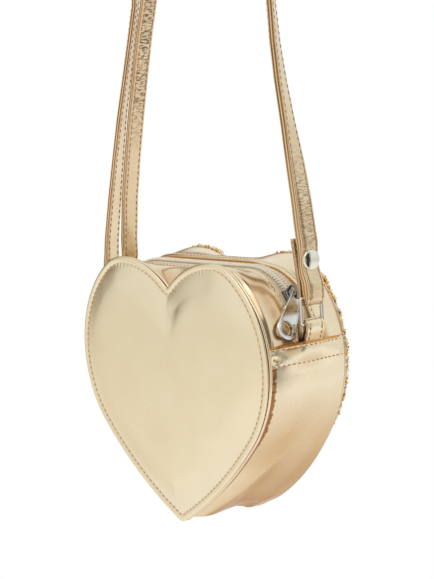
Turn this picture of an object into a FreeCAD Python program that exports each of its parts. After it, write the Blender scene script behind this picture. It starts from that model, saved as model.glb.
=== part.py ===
import FreeCAD, Part

import math
import os

# Heart outline: tangent arcs from the cleft over a lobe and down to the tip, in mm and degrees
lobe_peak_x = 33.1
inner_flank_radius = 47.0
cleft_radius = 2.0
crown_radius = 21.6
crown_turn = 35.4
shoulder_radius = 51.8
flank_radius = 54.7
flank_turn = 41.5
lower_turn = 17.7
tip_run = 10.0
tip_radius = 6.0
tip_radius_least = 0.4

# Padded panels: a flat flange, a rounded step, a nearly flat top
bag_depth = 50.0
flange_thick = 1.4
flange_width = 4.0
pad_step_width = 2.6
pad_step_rise = 2.4
pad_width = 7.0
pad_rise = 3.8
skin_thick = 1.2
board_thick = 1.0
lining_thick = 0.5
layer_gap = 0.1
stone_sheet_thick = 1.6
stone_sheet_inset = 0.3

# Main stones, on a staggered grid over the stone sheet's flat top
main_stone_pitch = 8.0
main_stone_radius = 2.9
main_stone_table = 1.8
main_stone_rise = 1.2
main_stone_sides = 6
main_stone_margin = 12.4

# Piping round each seam
piping_thick = 1.6
piping_inset = 0.3
piping_width = 3.9

# Lower gusset with a folded hem at each end
gusset_thick = 1.2
hem_thick = 1.0
hem_inset = 0.2
hem_height = 10.0
hem_rise = 9.2

# Zip strips, tapes and coil: flat over the cleft, round at the shoulders
zip_drop = 3.45
zip_shoulder_radius = 30.0
zip_window = 14.0
strip_thick = 2.0
strip_flat = 5.0
strip_fit = 0.2
tape_thick = 0.6
tape_inner_y = 1.0
tape_tuck = 4.5
lining_tuck = 2.5
tooth_pitch = 1.6
tooth_length = 0.75
tooth_height = 1.6
tooth_inner_y = 0.6
tooth_outer_y = 2.2
coil_end_angle = 61.0
stop_length = 1.6
stop_height = 1.8
stop_half_width = 2.3
stop_clear = 1.0

# Zip slider, parked on the right shoulder
slider_angle = 52.0
slider_length = 10.0
slider_width = 9.2
slider_rear_width = 7.4
slider_plate = 1.1
slider_flange = 1.1
slider_clear = 0.35
slider_under_clear = 0.8
slider_under_length = 7.0
divider_length = 1.6
divider_width = 0.7
divider_front = 0.6
bridge_width = 1.6
bridge_bar = 1.1
bridge_rear = 3.6
bridge_clear = 3.4

# Zip pull: a teardrop plate on the bridge's front leg
pivot_forward = 3.6
pivot_height = 1.45
pull_lean = 20.0
pull_turn = 38.0
pull_thick = 1.3
pull_length = 17.8
pull_head_radius = 2.6
pull_eye_radius = 1.6
pull_body_radius = 5.1
pull_hole_radius = 3.3

# Side rings and the tabs that hold them
ring_stand_off = 6.35
ring_lift = 9.0
ring_height = 11.7
ring_width = 12.4
ring_wire_radius = 0.9
ring_corner_radius = 1.0
ring_clear = 0.3
tab_width = 10.0
tab_layer = 1.1

# Shoulder strap
strap_width = 10.0
strap_thick = 2.2
leg_gap = 0.3
rivet_rise = 17.0
rivet_land = 7.0
tail_land = 5.9
fold_leg = 6.0
fold_ease_radius = 15.0
land_ease_radius = 25.0
tail_reach = 5.5
tail_rise = 9.8
tail_bend_radius = 6.0
strap_apex_x = 25.2
strap_apex_rise = 364.4
strap_top_radius = 14.5
strap_lean_radius = 60.0
left_land_out = 0.9
left_land_rise = 18.0
return_start_rise = 2.0
return_turn_rise = 5.3
return_turn_radius = 4.0
return_land_in = 13.5
return_land_rise = 9.5
return_land_radius = 8.0

# Rivet through the strap's fold
rivet_cap_radius = 4.5
rivet_cap_height = 1.7
rivet_back_radius = 3.0
rivet_back_height = 1.3
rivet_post_radius = 1.2
rivet_fit = 0.05

# Adjuster on the left run
adjuster_rise = 221.4
adjuster_half_length = 7.0
adjuster_bar_radius = 0.9
adjuster_pin_radius = 0.8
adjuster_clear = 0.3
adjuster_side_gap = 0.6
adjuster_side_thick = 1.4
adjuster_margin = 1.2
end_loop_leg = 16.0
end_loop_tail = 12.0
end_loop_ease = 6.0
end_loop_ease_radius = 8.0
loop_meet_gap = 0.3

cut_overrun = 20.0

os.makedirs("parts", exist_ok=True)
V = FreeCAD.Vector
DOWN_Y = V(0, -1, 0)
UP_Y = V(0, 1, 0)
nodes = {}


def sin(angle):
    return math.sin(math.radians(angle))


def cos(angle):
    return math.cos(math.radians(angle))


def polar(centre, radius, angle, y):
    """A point at an angle counted from straight up towards +X."""
    return V(centre[0] + radius * sin(angle), y, centre[1] + radius * cos(angle))


def arc(centre, radius, start, end, y):
    middle = (start + end) / 2
    ends = [polar(centre, radius, a, y) for a in (start, middle, end)]
    return Part.Arc(*ends).toShape()


def line(start, end):
    return Part.LineSegment(start, end).toShape()


def prism(wire, depth):
    return Part.Face(wire).extrude(V(0, depth, 0))


def slab(x0, x1, y0, y1, z0, z1):
    return Part.makeBox(x1 - x0, y1 - y0, z1 - z0, V(x0, y0, z0))


# Heart outline worked out from its arcs, with the tip's corner at x = 0, z = 0
tip_normal = 90 + flank_turn + lower_turn
cleft_turn = math.degrees(math.asin(lobe_peak_x / (inner_flank_radius + cleft_radius)))
half_width = lobe_peak_x + crown_radius * sin(crown_turn)
half_width += shoulder_radius * (1 - sin(crown_turn))
flank_end_x = half_width - flank_radius * (1 - cos(flank_turn))
tip_run_x = -tip_run * cos(tip_normal)
lower_radius = (flank_end_x - tip_run_x) / (cos(flank_turn) - sin(tip_normal))
flank_end_z = tip_run * sin(tip_normal) - lower_radius * (sin(flank_turn) + cos(tip_normal))
widest_z = flank_end_z + flank_radius * sin(flank_turn)
crown_end_z = widest_z + shoulder_radius * cos(crown_turn)
lobe_peak_z = crown_end_z + crown_radius * (1 - cos(crown_turn))
shoulder_centre = (half_width - shoulder_radius, widest_z)
flank_centre = (half_width - flank_radius, widest_z)
lower_centre = (flank_end_x - lower_radius * cos(flank_turn), flank_end_z + lower_radius * sin(flank_turn))
crown_centre = (lobe_peak_x, lobe_peak_z - crown_radius)
inner_flank_centre = (lobe_peak_x, lobe_peak_z - inner_flank_radius)
cleft_centre_z = inner_flank_centre[1] + (inner_flank_radius + cleft_radius) * cos(cleft_turn)
seam_y = bag_depth / 2


def mirrored(arcs):
    """The same arcs on the other side of x = 0, in the opposite order."""
    return [((-c[0], c[1]), r, -end, -start) for c, r, start, end in reversed(arcs)]


def shoulder_x(z, offset):
    """How far out the offset outline is at a height on the shoulder."""
    reach = shoulder_radius + offset
    return shoulder_centre[0] + math.sqrt(reach**2 - (z - widest_z) ** 2)


def heart_wire(offset, y):
    """The heart outline, moved outward by the offset."""
    half = [
        (inner_flank_centre, inner_flank_radius + offset, -cleft_turn, 0),
        (crown_centre, crown_radius + offset, 0, crown_turn),
        (shoulder_centre, shoulder_radius + offset, crown_turn, 90),
        (flank_centre, flank_radius + offset, 90, 90 + flank_turn),
        (lower_centre, lower_radius + offset, 90 + flank_turn, tip_normal),
    ]
    round_tip = max(tip_radius + offset, tip_radius_least)
    tip_z = (offset - round_tip) / cos(tip_normal)
    right = [arc(*part, y) for part in half]
    left = [arc(*part, y) for part in mirrored(half)]
    tip = arc((0, tip_z), round_tip, tip_normal, 360 - tip_normal, y)
    cleft = arc((0, cleft_centre_z), cleft_radius - offset, 180 + cleft_turn, 180 - cleft_turn, y)
    side_right = line(right[-1].valueAt(right[-1].LastParameter), tip.valueAt(tip.FirstParameter))
    side_left = line(tip.valueAt(tip.LastParameter), left[0].valueAt(left[0].FirstParameter))
    return Part.Wire([*right, side_right, tip, side_left, *left, cleft])


def heart_plate(offset, y0, y1):
    return prism(heart_wire(offset, y0), y1 - y0)


def heart_band(outer, inner, y0, y1):
    return heart_plate(outer, y0, y1).cut(heart_plate(inner, y0, y1))


def pad(steps, side):
    """A crowned heart through (inset, rise) steps; side is -1 at the back and 1 at the front."""
    wires = [heart_wire(-inset, side * (seam_y + rise)) for inset, rise in steps]
    return Part.makeLoft(wires, True, True)


def between(side, near, far):
    """The two y values of a layer, low one first, given its distances from the bag's middle."""
    return sorted((side * near, side * far))


# The zip's path: up from the hem, round the shoulder, flat over the cleft
zip_height = lobe_peak_z - zip_drop
hem_top_z = widest_z + hem_rise
gusset_outset = -(hem_inset + hem_thick)
strip_side_x = shoulder_x(hem_top_z, gusset_outset - gusset_thick) - strip_fit
zip_flat_half = strip_side_x - zip_shoulder_radius
zip_centre = (zip_flat_half, zip_height - zip_shoulder_radius)
strip_seam_offset = gusset_outset - gusset_thick - strip_fit
cleft_half = (cleft_radius - strip_seam_offset) * sin(cleft_turn)


def zip_edges(offset, y):
    """The zip path from the right hem to the left one, moved outward by the offset."""
    radius = zip_shoulder_radius + offset
    foot = V(strip_side_x + offset, y, widest_z)
    top = zip_height + offset
    half = [(zip_centre, radius, 90, crown_turn), (zip_centre, radius, crown_turn, 0)]
    right = [arc(*part, y) for part in half]
    left_half = [((-c[0], c[1]), r, -a1, -a0) for c, r, a0, a1 in reversed(half)]
    left = [arc(*part, y) for part in left_half]
    flat = [V(x, y, top) for x in (zip_flat_half, cleft_half, -cleft_half, -zip_flat_half)]
    tops = [line(a, b) for a, b in zip(flat, flat[1:])]
    rise = line(foot, polar(zip_centre, radius, 90, y))
    left_foot = V(-foot.x, y, widest_z)
    drop = line(polar((-zip_flat_half, zip_centre[1]), radius, -90, y), left_foot)
    return [rise, *right, *tops, *left, drop]


def seam_edges(offset, y):
    """The heart's own top edge over the same stretch, moved outward by the offset."""
    radius = shoulder_radius + offset
    split = math.degrees(math.acos((zip_centre[1] - widest_z) / radius))
    half = [
        (shoulder_centre, radius, 90, split),
        (shoulder_centre, radius, split, crown_turn),
        (crown_centre, crown_radius + offset, crown_turn, 0),
        (inner_flank_centre, inner_flank_radius + offset, 0, -cleft_turn),
    ]
    right = [arc(*part, y) for part in half]
    left = [arc(*part, y) for part in mirrored(half)]
    cleft = arc((0, cleft_centre_z), cleft_radius - offset, 180 - cleft_turn, 180 + cleft_turn, y)
    return [*right, cleft, *left]


def closed(outer, inner):
    """A closed wire from two open runs of edges that lie side by side."""
    starts = [run[0].valueAt(run[0].FirstParameter) for run in (outer, inner)]
    ends = [run[-1].valueAt(run[-1].LastParameter) for run in (outer, inner)]
    return Part.Wire([*outer, line(ends[0], ends[1]), *reversed(inner), line(starts[1], starts[0])])


def strip(seam_offset, zip_offset, thick, y_seam, y_flat, y_edge):
    """A saddle from the heart's edge at the seam to the level zip path."""
    seam = closed(seam_edges(seam_offset, y_seam), seam_edges(seam_offset - thick, y_seam))
    levels = [
        closed(zip_edges(zip_offset, y), zip_edges(zip_offset - thick, y)) for y in (y_flat, y_edge)
    ]
    return Part.makeLoft([seam, *levels], True, True)


def on_zip(shape, angle):
    """Moves a shape made at the origin, tangent to the strips' top, to an angle on the right shoulder."""
    shape.Placement = FreeCAD.Placement(
        polar(zip_centre, zip_shoulder_radius, angle, 0), FreeCAD.Rotation(UP_Y, angle)
    )
    return shape


def on_coil(shape, travel):
    """Moves a shape made at the origin along the zip, by a distance from the middle."""
    over = abs(travel) - zip_flat_half
    way = math.copysign(1, travel)
    angle = math.degrees(over / zip_shoulder_radius) if over > 0 else 0
    base = polar(zip_centre, zip_shoulder_radius, angle, 0)
    base.x = way * base.x if over > 0 else travel
    shape.Placement = FreeCAD.Placement(base, FreeCAD.Rotation(UP_Y, way * angle))
    return shape


# Panels, one at the back and one at the front
gusset_y = seam_y - flange_thick - piping_thick
board_y = seam_y - flange_thick
liner_y = board_y - board_thick
board_inset = piping_inset + piping_width + layer_gap
pad_steps = [
    (flange_width, 0),
    (flange_width + pad_step_width, pad_step_rise),
    (flange_width + pad_width, pad_rise),
]
core_steps = [
    (flange_width + skin_thick, -flange_thick),
    (flange_width + pad_step_width + skin_thick, pad_step_rise - skin_thick),
    (flange_width + pad_width + skin_thick, pad_rise - skin_thick),
]
stone_steps = [(max(inset - stone_sheet_thick, 0), rise + stone_sheet_thick) for inset, rise in pad_steps]
for name, side in (("back", -1), ("front", 1)):
    outside = heart_plate(0, *between(side, board_y, seam_y)).fuse(pad(pad_steps, side))
    core = pad(core_steps, side)
    nodes[f"{name}_panel_skin"] = outside.cut(core)
    nodes[f"{name}_panel_foam"] = core
    nodes[f"{name}_panel_board"] = heart_plate(-board_inset, *between(side, liner_y, board_y))
    liner = between(side, liner_y - lining_thick, liner_y)
    nodes[f"{name}_panel_lining"] = heart_plate(-board_inset, *liner)
    nodes[f"{name}_seam_piping"] = heart_band(
        -piping_inset, -piping_inset - piping_width, *between(side, gusset_y, board_y)
    )
    if side > 0:
        cover = heart_plate(-stone_sheet_inset, *between(side, seam_y, seam_y + stone_sheet_thick))
        stone_sheet = cover.fuse(pad(stone_steps, side)).cut(outside)


def cut_stone(spot):
    """A stone with flat sides and a flat table, sunk a little into the stone sheet."""
    outlines = []
    for radius, level in ((main_stone_radius, -layer_gap), (main_stone_table, main_stone_rise)):
        turns = [360 * k / main_stone_sides for k in range(main_stone_sides)]
        corners = [polar((spot.x, spot.z), radius, turn, spot.y + level) for turn in turns]
        outlines.append(Part.makePolygon([*corners, corners[0]]))
    return Part.makeLoft(outlines, True, True)


# Stones stand wherever the grid falls inside the flat top
stone_y = seam_y + pad_rise + stone_sheet_thick
stone_area = Part.Face(heart_wire(-main_stone_margin, stone_y))
stone_row_step = main_stone_pitch * math.sqrt(3) / 2
stone_columns = int(half_width / main_stone_pitch) + 1
stones = []
for row in range(int(lobe_peak_z / stone_row_step) + 1):
    shift = main_stone_pitch / 2 * (row % 2)
    for column in range(-stone_columns, stone_columns + 1):
        spot = V(column * main_stone_pitch + shift, stone_y, row * stone_row_step)
        if stone_area.isInside(spot, layer_gap, True):
            stones.append(cut_stone(spot))
nodes["front_stone_sheet"] = stone_sheet.fuse(stones)

# Lower gusset, its hems and its lining
reach = half_width + cut_overrun
above_hem = slab(-reach, reach, -seam_y, seam_y, hem_top_z, lobe_peak_z + cut_overrun)
below_strips = slab(-reach, reach, -seam_y, seam_y, widest_z - layer_gap, lobe_peak_z + cut_overrun)
gusset_inset = gusset_outset - gusset_thick
gusset = heart_band(gusset_outset, gusset_inset, -gusset_y, gusset_y)
nodes["lower_gusset"] = gusset.cut(above_hem)
liner_outset = gusset_inset - layer_gap
gusset_lining = heart_band(liner_outset, liner_outset - lining_thick, -gusset_y, gusset_y)
nodes["lower_gusset_lining"] = gusset_lining.cut(below_strips)
hem_band = heart_band(-hem_inset, gusset_outset, -gusset_y, gusset_y)
for name, way in (("right", 1), ("left", -1)):
    sides = sorted((0, way * reach))
    window = slab(*sides, -seam_y, seam_y, hem_top_z - hem_height, hem_top_z)
    nodes[f"gusset_hem_{name}"] = hem_band.common(window)

# Zip strips, linings, tapes, coil and stops
strip_edge_y = zip_window / 2
strip_flat_y = strip_edge_y + strip_flat
tape_offset = -strip_thick - layer_gap
strip_lining_offset = tape_offset - tape_thick - layer_gap
coil_half = zip_flat_half + math.radians(coil_end_angle) * zip_shoulder_radius
tooth_count = int(2 * coil_half / tooth_pitch)
for name, side in (("back", -1), ("front", 1)):
    nodes[f"zip_strip_{name}"] = strip(
        strip_seam_offset, 0, strip_thick, side * gusset_y, side * strip_flat_y, side * strip_edge_y
    )
    nodes[f"zip_strip_lining_{name}"] = strip(
        strip_seam_offset - strip_thick - layer_gap,
        strip_lining_offset,
        lining_thick,
        side * gusset_y,
        side * strip_flat_y,
        side * (strip_edge_y + lining_tuck),
    )
    tape_y = between(side, tape_inner_y, strip_edge_y + tape_tuck)
    tape_wire = closed(zip_edges(tape_offset, tape_y[0]), zip_edges(tape_offset - tape_thick, tape_y[0]))
    nodes[f"zip_tape_{name}"] = prism(tape_wire, tape_y[1] - tape_y[0])
    tooth_y = between(side, tooth_inner_y, tooth_outer_y)
    teeth = []
    for index in range(tooth_count):
        stagger = 0.5 if side > 0 else 0
        travel = (index + stagger - tooth_count / 2) * tooth_pitch
        ends = (-tooth_length / 2, tooth_length / 2)
        tooth = slab(*ends, *tooth_y, tape_offset, tape_offset + tooth_height)
        teeth.append(on_coil(tooth, travel))
    nodes[f"zip_coil_{name}"] = Part.makeCompound(teeth)
for name, way in (("right", 1), ("left", -1)):
    stop = slab(0, stop_length, -stop_half_width, stop_half_width, tape_offset, tape_offset + stop_height)
    stop.translate(V(-stop_length / 2, 0, 0))
    nodes[f"zip_stop_{name}"] = on_coil(stop, way * (coil_half + stop_clear + stop_length))

# Slider: two plates joined by a divider, with side flanges over the coil
plate_low = tape_offset + tooth_height + slider_clear
plate_top = plate_low + slider_plate
under_top = tape_offset - tape_thick - slider_under_clear
half_length = slider_length / 2
corners = [
    V(-half_length, -slider_rear_width / 2, plate_low),
    V(half_length, -slider_width / 2, plate_low),
    V(half_length, slider_width / 2, plate_low),
    V(-half_length, slider_rear_width / 2, plate_low),
]
slider = Part.Face(Part.makePolygon([*corners, corners[0]])).extrude(V(0, 0, slider_plate))
flange_low = tape_offset + slider_clear
for way in (-1, 1):
    edge = sorted((way * slider_rear_width / 2, way * (slider_rear_width / 2 - slider_flange)))
    slider = slider.fuse(slab(-half_length, half_length, *edge, flange_low, plate_low))
under = slab(
    half_length - slider_under_length,
    half_length,
    -slider_rear_width / 2,
    slider_rear_width / 2,
    under_top - slider_plate,
    under_top,
)
divider_end = half_length - divider_front
divider = slab(
    divider_end - divider_length,
    divider_end,
    -divider_width / 2,
    divider_width / 2,
    under_top,
    plate_low,
)
nodes["zip_slider_body"] = on_zip(slider.fuse(under).fuse(divider).removeSplitter(), slider_angle)

# Bridge: rear leg, top bar, and a front leg square to the pull that turns on it
pivot_w = plate_top + pivot_height
leg_slope = math.tan(math.radians(90 - slider_angle - pull_lean))
bridge_top = plate_top + bridge_clear + bridge_bar


def leg(height, side):
    """A point on a face of the slanted front leg."""
    return V(pivot_forward + (height - pivot_w) * leg_slope + side * bridge_bar / 2, -bridge_width / 2, height)


def rear(height, inset):
    return V(-bridge_rear + inset, -bridge_width / 2, height)


bridge_points = [
    rear(plate_top, 0),
    rear(bridge_top, 0),
    leg(bridge_top, 1),
    leg(plate_top, 1),
    leg(plate_top, -1),
    leg(plate_top + bridge_clear, -1),
    rear(plate_top + bridge_clear, bridge_bar),
    rear(plate_top, bridge_bar),
]
bridge = prism(Part.makePolygon([*bridge_points, bridge_points[0]]), bridge_width)
nodes["zip_slider_bridge"] = on_zip(bridge, slider_angle)

# Pull: a teardrop with an eye at its head and a round hole in its body
slider_along = V(cos(slider_angle), 0, -sin(slider_angle))
slider_out = V(sin(slider_angle), 0, cos(slider_angle))
pivot = polar(zip_centre, zip_shoulder_radius, slider_angle, 0)
pivot = pivot + slider_along * pivot_forward + slider_out * pivot_w
pull_out = V(cos(pull_lean), 0, sin(pull_lean))
pull_down = V(sin(pull_lean), 0, -cos(pull_lean))
pull_along = pull_down * cos(pull_turn) + DOWN_Y * sin(pull_turn)
tangent_cos = (pull_head_radius - pull_body_radius) / pull_length
tangent_sin = math.sqrt(1 - tangent_cos**2)
tangents = [
    [V(x + r * tangent_cos, way * r * tangent_sin, 0) for way in (1, -1)]
    for x, r in ((0, pull_head_radius), (pull_length, pull_body_radius))
]
pull_edges = [
    line(tangents[0][0], tangents[1][0]),
    Part.Arc(tangents[1][0], V(pull_length + pull_body_radius, 0, 0), tangents[1][1]).toShape(),
    line(tangents[1][1], tangents[0][1]),
    Part.Arc(tangents[0][1], V(-pull_head_radius, 0, 0), tangents[0][0]).toShape(),
]
pull = Part.Face(Part.Wire(pull_edges)).extrude(V(0, 0, pull_thick))
for x, radius in ((0, pull_eye_radius), (pull_length, pull_hole_radius)):
    pull = pull.cut(Part.makeCylinder(radius, pull_thick, V(x, 0, 0)))
pull.translate(V(0, 0, -pull_thick / 2))
pull_axes = FreeCAD.Rotation(pull_along, pull_out.cross(pull_along), pull_out, "ZXY")
pull.Placement = FreeCAD.Placement(pivot, pull_axes).multiply(pull.Placement)
nodes["zip_pull"] = pull


def band(points, radii, thick, width):
    """A flat strap along straight runs joined by tangent arcs, in the XZ plane, with its width along Y."""
    runs = [(b - a).normalize() for a, b in zip(points, points[1:])]
    corners = []
    for point, radius, before, after in zip(points[1:-1], radii, runs, runs[1:]):
        turn = before.getAngle(after)
        reach = radius * math.tan(turn / 2)
        inward = (after - before).normalize()
        centre = point + inward * (radius / math.cos(turn / 2))
        corners.append((centre, point - before * reach, point + after * reach, inward))
    sides = []
    for way in (1, -1):
        first = V(-runs[0].z, 0, runs[0].x) * (way * thick / 2)
        last = V(-runs[-1].z, 0, runs[-1].x) * (way * thick / 2)
        at = points[0] + first
        edges = []
        for (centre, start, end, inward), radius, before in zip(corners, radii, runs):
            left = V(-before.z, 0, before.x)
            shift = way * thick / 2 if left.dot(inward) < 0 else -way * thick / 2
            scale = (radius + shift) / radius
            start, end = (centre + (p - centre) * scale for p in (start, end))
            if at.distanceToPoint(start) > layer_gap / 100:
                edges.append(line(at, start))
            edges.append(Part.Arc(start, centre - inward * (radius + shift), end).toShape())
            at = end
        edges.append(line(at, points[-1] + last))
        sides.append(edges)
    shape = prism(closed(*sides), width)
    shape.translate(V(0, -width / 2, 0))
    return shape


def flat(x, z):
    return V(x, 0, z)


# Rings and tabs, mirrored left and right
tab_foot_x = shoulder_x(hem_top_z, gusset_outset)
ring_x = tab_foot_x + ring_stand_off
ring_low_z = hem_top_z + ring_lift
ring_top_z = ring_low_z + ring_height
tab_hole_radius = ring_wire_radius + ring_clear
tab_loop_radius = tab_hole_radius + tab_layer


def rounded_frame(half_y, z0, z1, corner):
    """A closed rounded rectangle at the ring's x, starting in the middle of its lower side."""
    spots = [(half_y, z0), (half_y, z1), (-half_y, z1), (-half_y, z0)]
    ahead = [(0, 1), (-1, 0), (0, -1), (1, 0)]
    start = V(ring_x, 0, z0)
    at = start
    edges = []
    for index, (y, z) in enumerate(spots):
        into = ahead[index - 1]
        out = ahead[index]
        before = V(ring_x, y - into[0] * corner, z - into[1] * corner)
        after = V(ring_x, y + out[0] * corner, z + out[1] * corner)
        centre = V(ring_x, before.y + out[0] * corner, before.z + out[1] * corner)
        middle = centre + (V(ring_x, y, z) - centre).normalize() * corner
        edges.extend([line(at, before), Part.Arc(before, middle, after).toShape()])
        at = after
    edges.append(line(at, start))
    return Part.Wire(edges)


ring_path = rounded_frame(ring_width / 2, ring_low_z, ring_top_z, ring_corner_radius)
ring_section = Part.Wire(Part.makeCircle(ring_wire_radius, V(ring_x, 0, ring_low_z), UP_Y))
ring = ring_path.makePipeShell([ring_section], True, False)
tab_start = V(ring_x, -tab_width / 2, ring_low_z)
tab_foot = V(tab_foot_x, -tab_width / 2, hem_top_z)
neck_way = (tab_start - tab_foot).normalize()
neck_side = V(-neck_way.z, 0, neck_way.x) * tab_layer
neck_foot = [tab_foot + V(way * tab_layer / neck_way.z, 0, 0) for way in (1, -1)]
neck_top = [tab_start - neck_side, tab_start + neck_side]
neck_wire = Part.makePolygon([neck_foot[0], neck_top[0], neck_top[1], neck_foot[1], neck_foot[0]])
loop = Part.makeCylinder(tab_loop_radius, tab_width, tab_start, UP_Y)
tab = prism(neck_wire, tab_width).fuse(loop)
tab = tab.cut(Part.makeCylinder(tab_hole_radius, tab_width, tab_start, UP_Y)).removeSplitter()
middle_plane = (V(0, 0, 0), V(1, 0, 0))
nodes["ring_right"] = ring
nodes["ring_left"] = ring.mirror(*middle_plane)
nodes["ring_tab_right"] = tab
nodes["ring_tab_left"] = tab.mirror(*middle_plane)

# Strap: tail, fold round the right ring, right run, top bend, left run, fold round the left ring
fold_radius = ring_wire_radius + ring_clear + strap_thick / 2
leg_half = (strap_thick + leg_gap) / 2
rivet_z = ring_top_z + rivet_rise
fold_leg_z = ring_top_z + fold_leg
fold_low_z = ring_top_z - fold_radius
land_z = (rivet_z - rivet_land, rivet_z + rivet_land)
apex = flat(strap_apex_x, ring_top_z + strap_apex_rise)
left_land = flat(-ring_x - left_land_out, ring_top_z + left_land_rise)
strap_points = [
    flat(ring_x - tail_reach, rivet_z + tail_rise),
    flat(ring_x - leg_half, rivet_z + tail_land),
    flat(ring_x - leg_half, land_z[0]),
    flat(ring_x - fold_radius, fold_leg_z),
    flat(ring_x - fold_radius, fold_low_z),
    flat(ring_x + fold_radius, fold_low_z),
    flat(ring_x + fold_radius, fold_leg_z),
    flat(ring_x + leg_half, land_z[0]),
    flat(ring_x + leg_half, land_z[1]),
    apex,
    left_land,
    flat(-ring_x - fold_radius, fold_leg_z),
    flat(-ring_x - fold_radius, fold_low_z),
    flat(-ring_x + fold_radius, fold_low_z),
    flat(-ring_x + fold_radius, ring_top_z + return_start_rise),
]
strap_radii = [
    tail_bend_radius,
    fold_ease_radius,
    fold_ease_radius,
    fold_radius,
    fold_radius,
    fold_ease_radius,
    fold_ease_radius,
    land_ease_radius,
    strap_top_radius,
    strap_lean_radius,
    land_ease_radius,
    fold_radius,
    fold_radius,
]
post_reach = strap_thick + leg_half
post_start = V(ring_x - post_reach, 0, rivet_z)
post_hole = Part.makeCylinder(rivet_post_radius + rivet_fit, 2 * post_reach, post_start, V(1, 0, 0))
strap = band(strap_points, strap_radii, strap_thick, strap_width)
nodes["strap_main"] = strap.cut(post_hole)

# Rivet: a post through both layers with a domed cap outside and a small one inside
stack_half = strap_thick + leg_gap / 2
shank = V(ring_x - stack_half, 0, rivet_z)
nodes["rivet_post"] = Part.makeCylinder(rivet_post_radius, 2 * stack_half, shank, V(1, 0, 0))


def dome(radius, height, way):
    """A cap of a ball whose flat face lies on the strap; way is 1 outside and -1 inside."""
    ball_radius = (radius**2 + height**2) / (2 * height)
    face_x = ring_x + way * stack_half
    ball = Part.makeSphere(ball_radius, V(face_x + way * (height - ball_radius), 0, rivet_z))
    keep = sorted((face_x, face_x + way * cut_overrun))
    room = slab(*keep, -cut_overrun, cut_overrun, rivet_z - cut_overrun, rivet_z + cut_overrun)
    return ball.common(room)


nodes["rivet_cap"] = dome(rivet_cap_radius, rivet_cap_height, 1)
nodes["rivet_back_cap"] = dome(rivet_back_radius, rivet_back_height, -1)

# Adjuster on the left run: side plates and end bars outside the strap, pin inside it
run_way = (apex - left_land).normalize()
run_in = V(run_way.z, 0, -run_way.x)
run_share = (ring_top_z + adjuster_rise - left_land.z) / (apex.z - left_land.z)
adjuster_centre = left_land + (apex - left_land) * run_share
end_bar_out = -(strap_thick / 2 + adjuster_clear + adjuster_bar_radius)
loop_bend_radius = adjuster_pin_radius + adjuster_clear + strap_thick / 2
pin_in = strap_thick / 2 + adjuster_clear + loop_bend_radius + strap_thick / 2
side_y = strap_width / 2 + adjuster_side_gap


def on_run(along, inward, y):
    """A point on the left run, by its distance along the run and inward from the strap's middle."""
    return adjuster_centre + run_way * along + run_in * inward + V(0, y, 0)


side_reach = adjuster_half_length + adjuster_bar_radius
side_shape = [
    (-side_reach, end_bar_out - adjuster_bar_radius),
    (-side_reach, end_bar_out + adjuster_bar_radius),
    (-adjuster_pin_radius - adjuster_margin, pin_in + adjuster_pin_radius + adjuster_margin),
    (adjuster_pin_radius + adjuster_margin, pin_in + adjuster_pin_radius + adjuster_margin),
    (side_reach, end_bar_out + adjuster_bar_radius),
    (side_reach, end_bar_out - adjuster_bar_radius),
]
pieces = []
for y in (-side_y - adjuster_side_thick, side_y):
    corners = [on_run(along, inward, y) for along, inward in side_shape]
    plate = prism(Part.makePolygon([*corners, corners[0]]), adjuster_side_thick)
    hole_start = on_run(0, pin_in, y)
    hole = Part.makeCylinder(adjuster_pin_radius + rivet_fit, adjuster_side_thick, hole_start, UP_Y)
    pieces.append(plate.cut(hole))
for way in (-1, 1):
    bar_start = on_run(way * adjuster_half_length, end_bar_out, -side_y)
    pieces.append(Part.makeCylinder(adjuster_bar_radius, 2 * side_y, bar_start, UP_Y))
nodes["adjuster_frame"] = pieces[0].fuse(pieces[1:]).removeSplitter()
pin_half = side_y + adjuster_side_thick
pin_start = on_run(0, pin_in, -pin_half)
nodes["adjuster_pin"] = Part.makeCylinder(adjuster_pin_radius, 2 * pin_half, pin_start, UP_Y)
loop_points = [
    on_run(-end_loop_leg, pin_in - leg_half, 0),
    on_run(-end_loop_ease - end_loop_ease / 2, pin_in - leg_half, 0),
    on_run(-end_loop_ease / 2, pin_in - loop_bend_radius, 0),
    on_run(loop_bend_radius, pin_in - loop_bend_radius, 0),
    on_run(loop_bend_radius, pin_in + loop_bend_radius, 0),
    on_run(-end_loop_ease / 2, pin_in + loop_bend_radius, 0),
    on_run(-end_loop_ease - end_loop_ease / 2, pin_in + leg_half, 0),
    on_run(-end_loop_tail, pin_in + leg_half, 0),
]
ease = end_loop_ease_radius
loop_radii = [ease, ease, loop_bend_radius, loop_bend_radius, ease, ease]
nodes["strap_end_loop"] = band(loop_points, loop_radii, strap_thick, strap_width)
return_points = [
    strap_points[-1],
    flat(-ring_x + fold_radius, ring_top_z + return_turn_rise),
    flat(-ring_x + return_land_in, ring_top_z + return_land_rise),
    on_run(-end_loop_leg - loop_meet_gap, pin_in - leg_half, 0),
]
return_radii = [return_turn_radius, return_land_radius]
nodes["strap_return_run"] = band(return_points, return_radii, strap_thick, strap_width)

# The part's origin is under the strap's top bend, where it hangs
right_way = (apex - strap_points[8]).normalize()
bend_half = math.pi / 2 - right_way.getAngle(run_way) / 2
bend_in = -(right_way + run_way).normalize()
bend_centre = apex + bend_in * (strap_top_radius / math.cos(bend_half))
hang_point = bend_centre + V(0, 0, strap_top_radius - strap_thick / 2)
for name, shape in nodes.items():
    placed = shape.copy()
    placed.translate(-hang_point)
    placed.exportStep(f"parts/{name}.step")
    state = "ok" if placed.isValid() else "NOT VALID"
    print(f"{name}: {len(placed.Solids)} solids, {placed.Volume:.1f} mm3, {state}")

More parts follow.
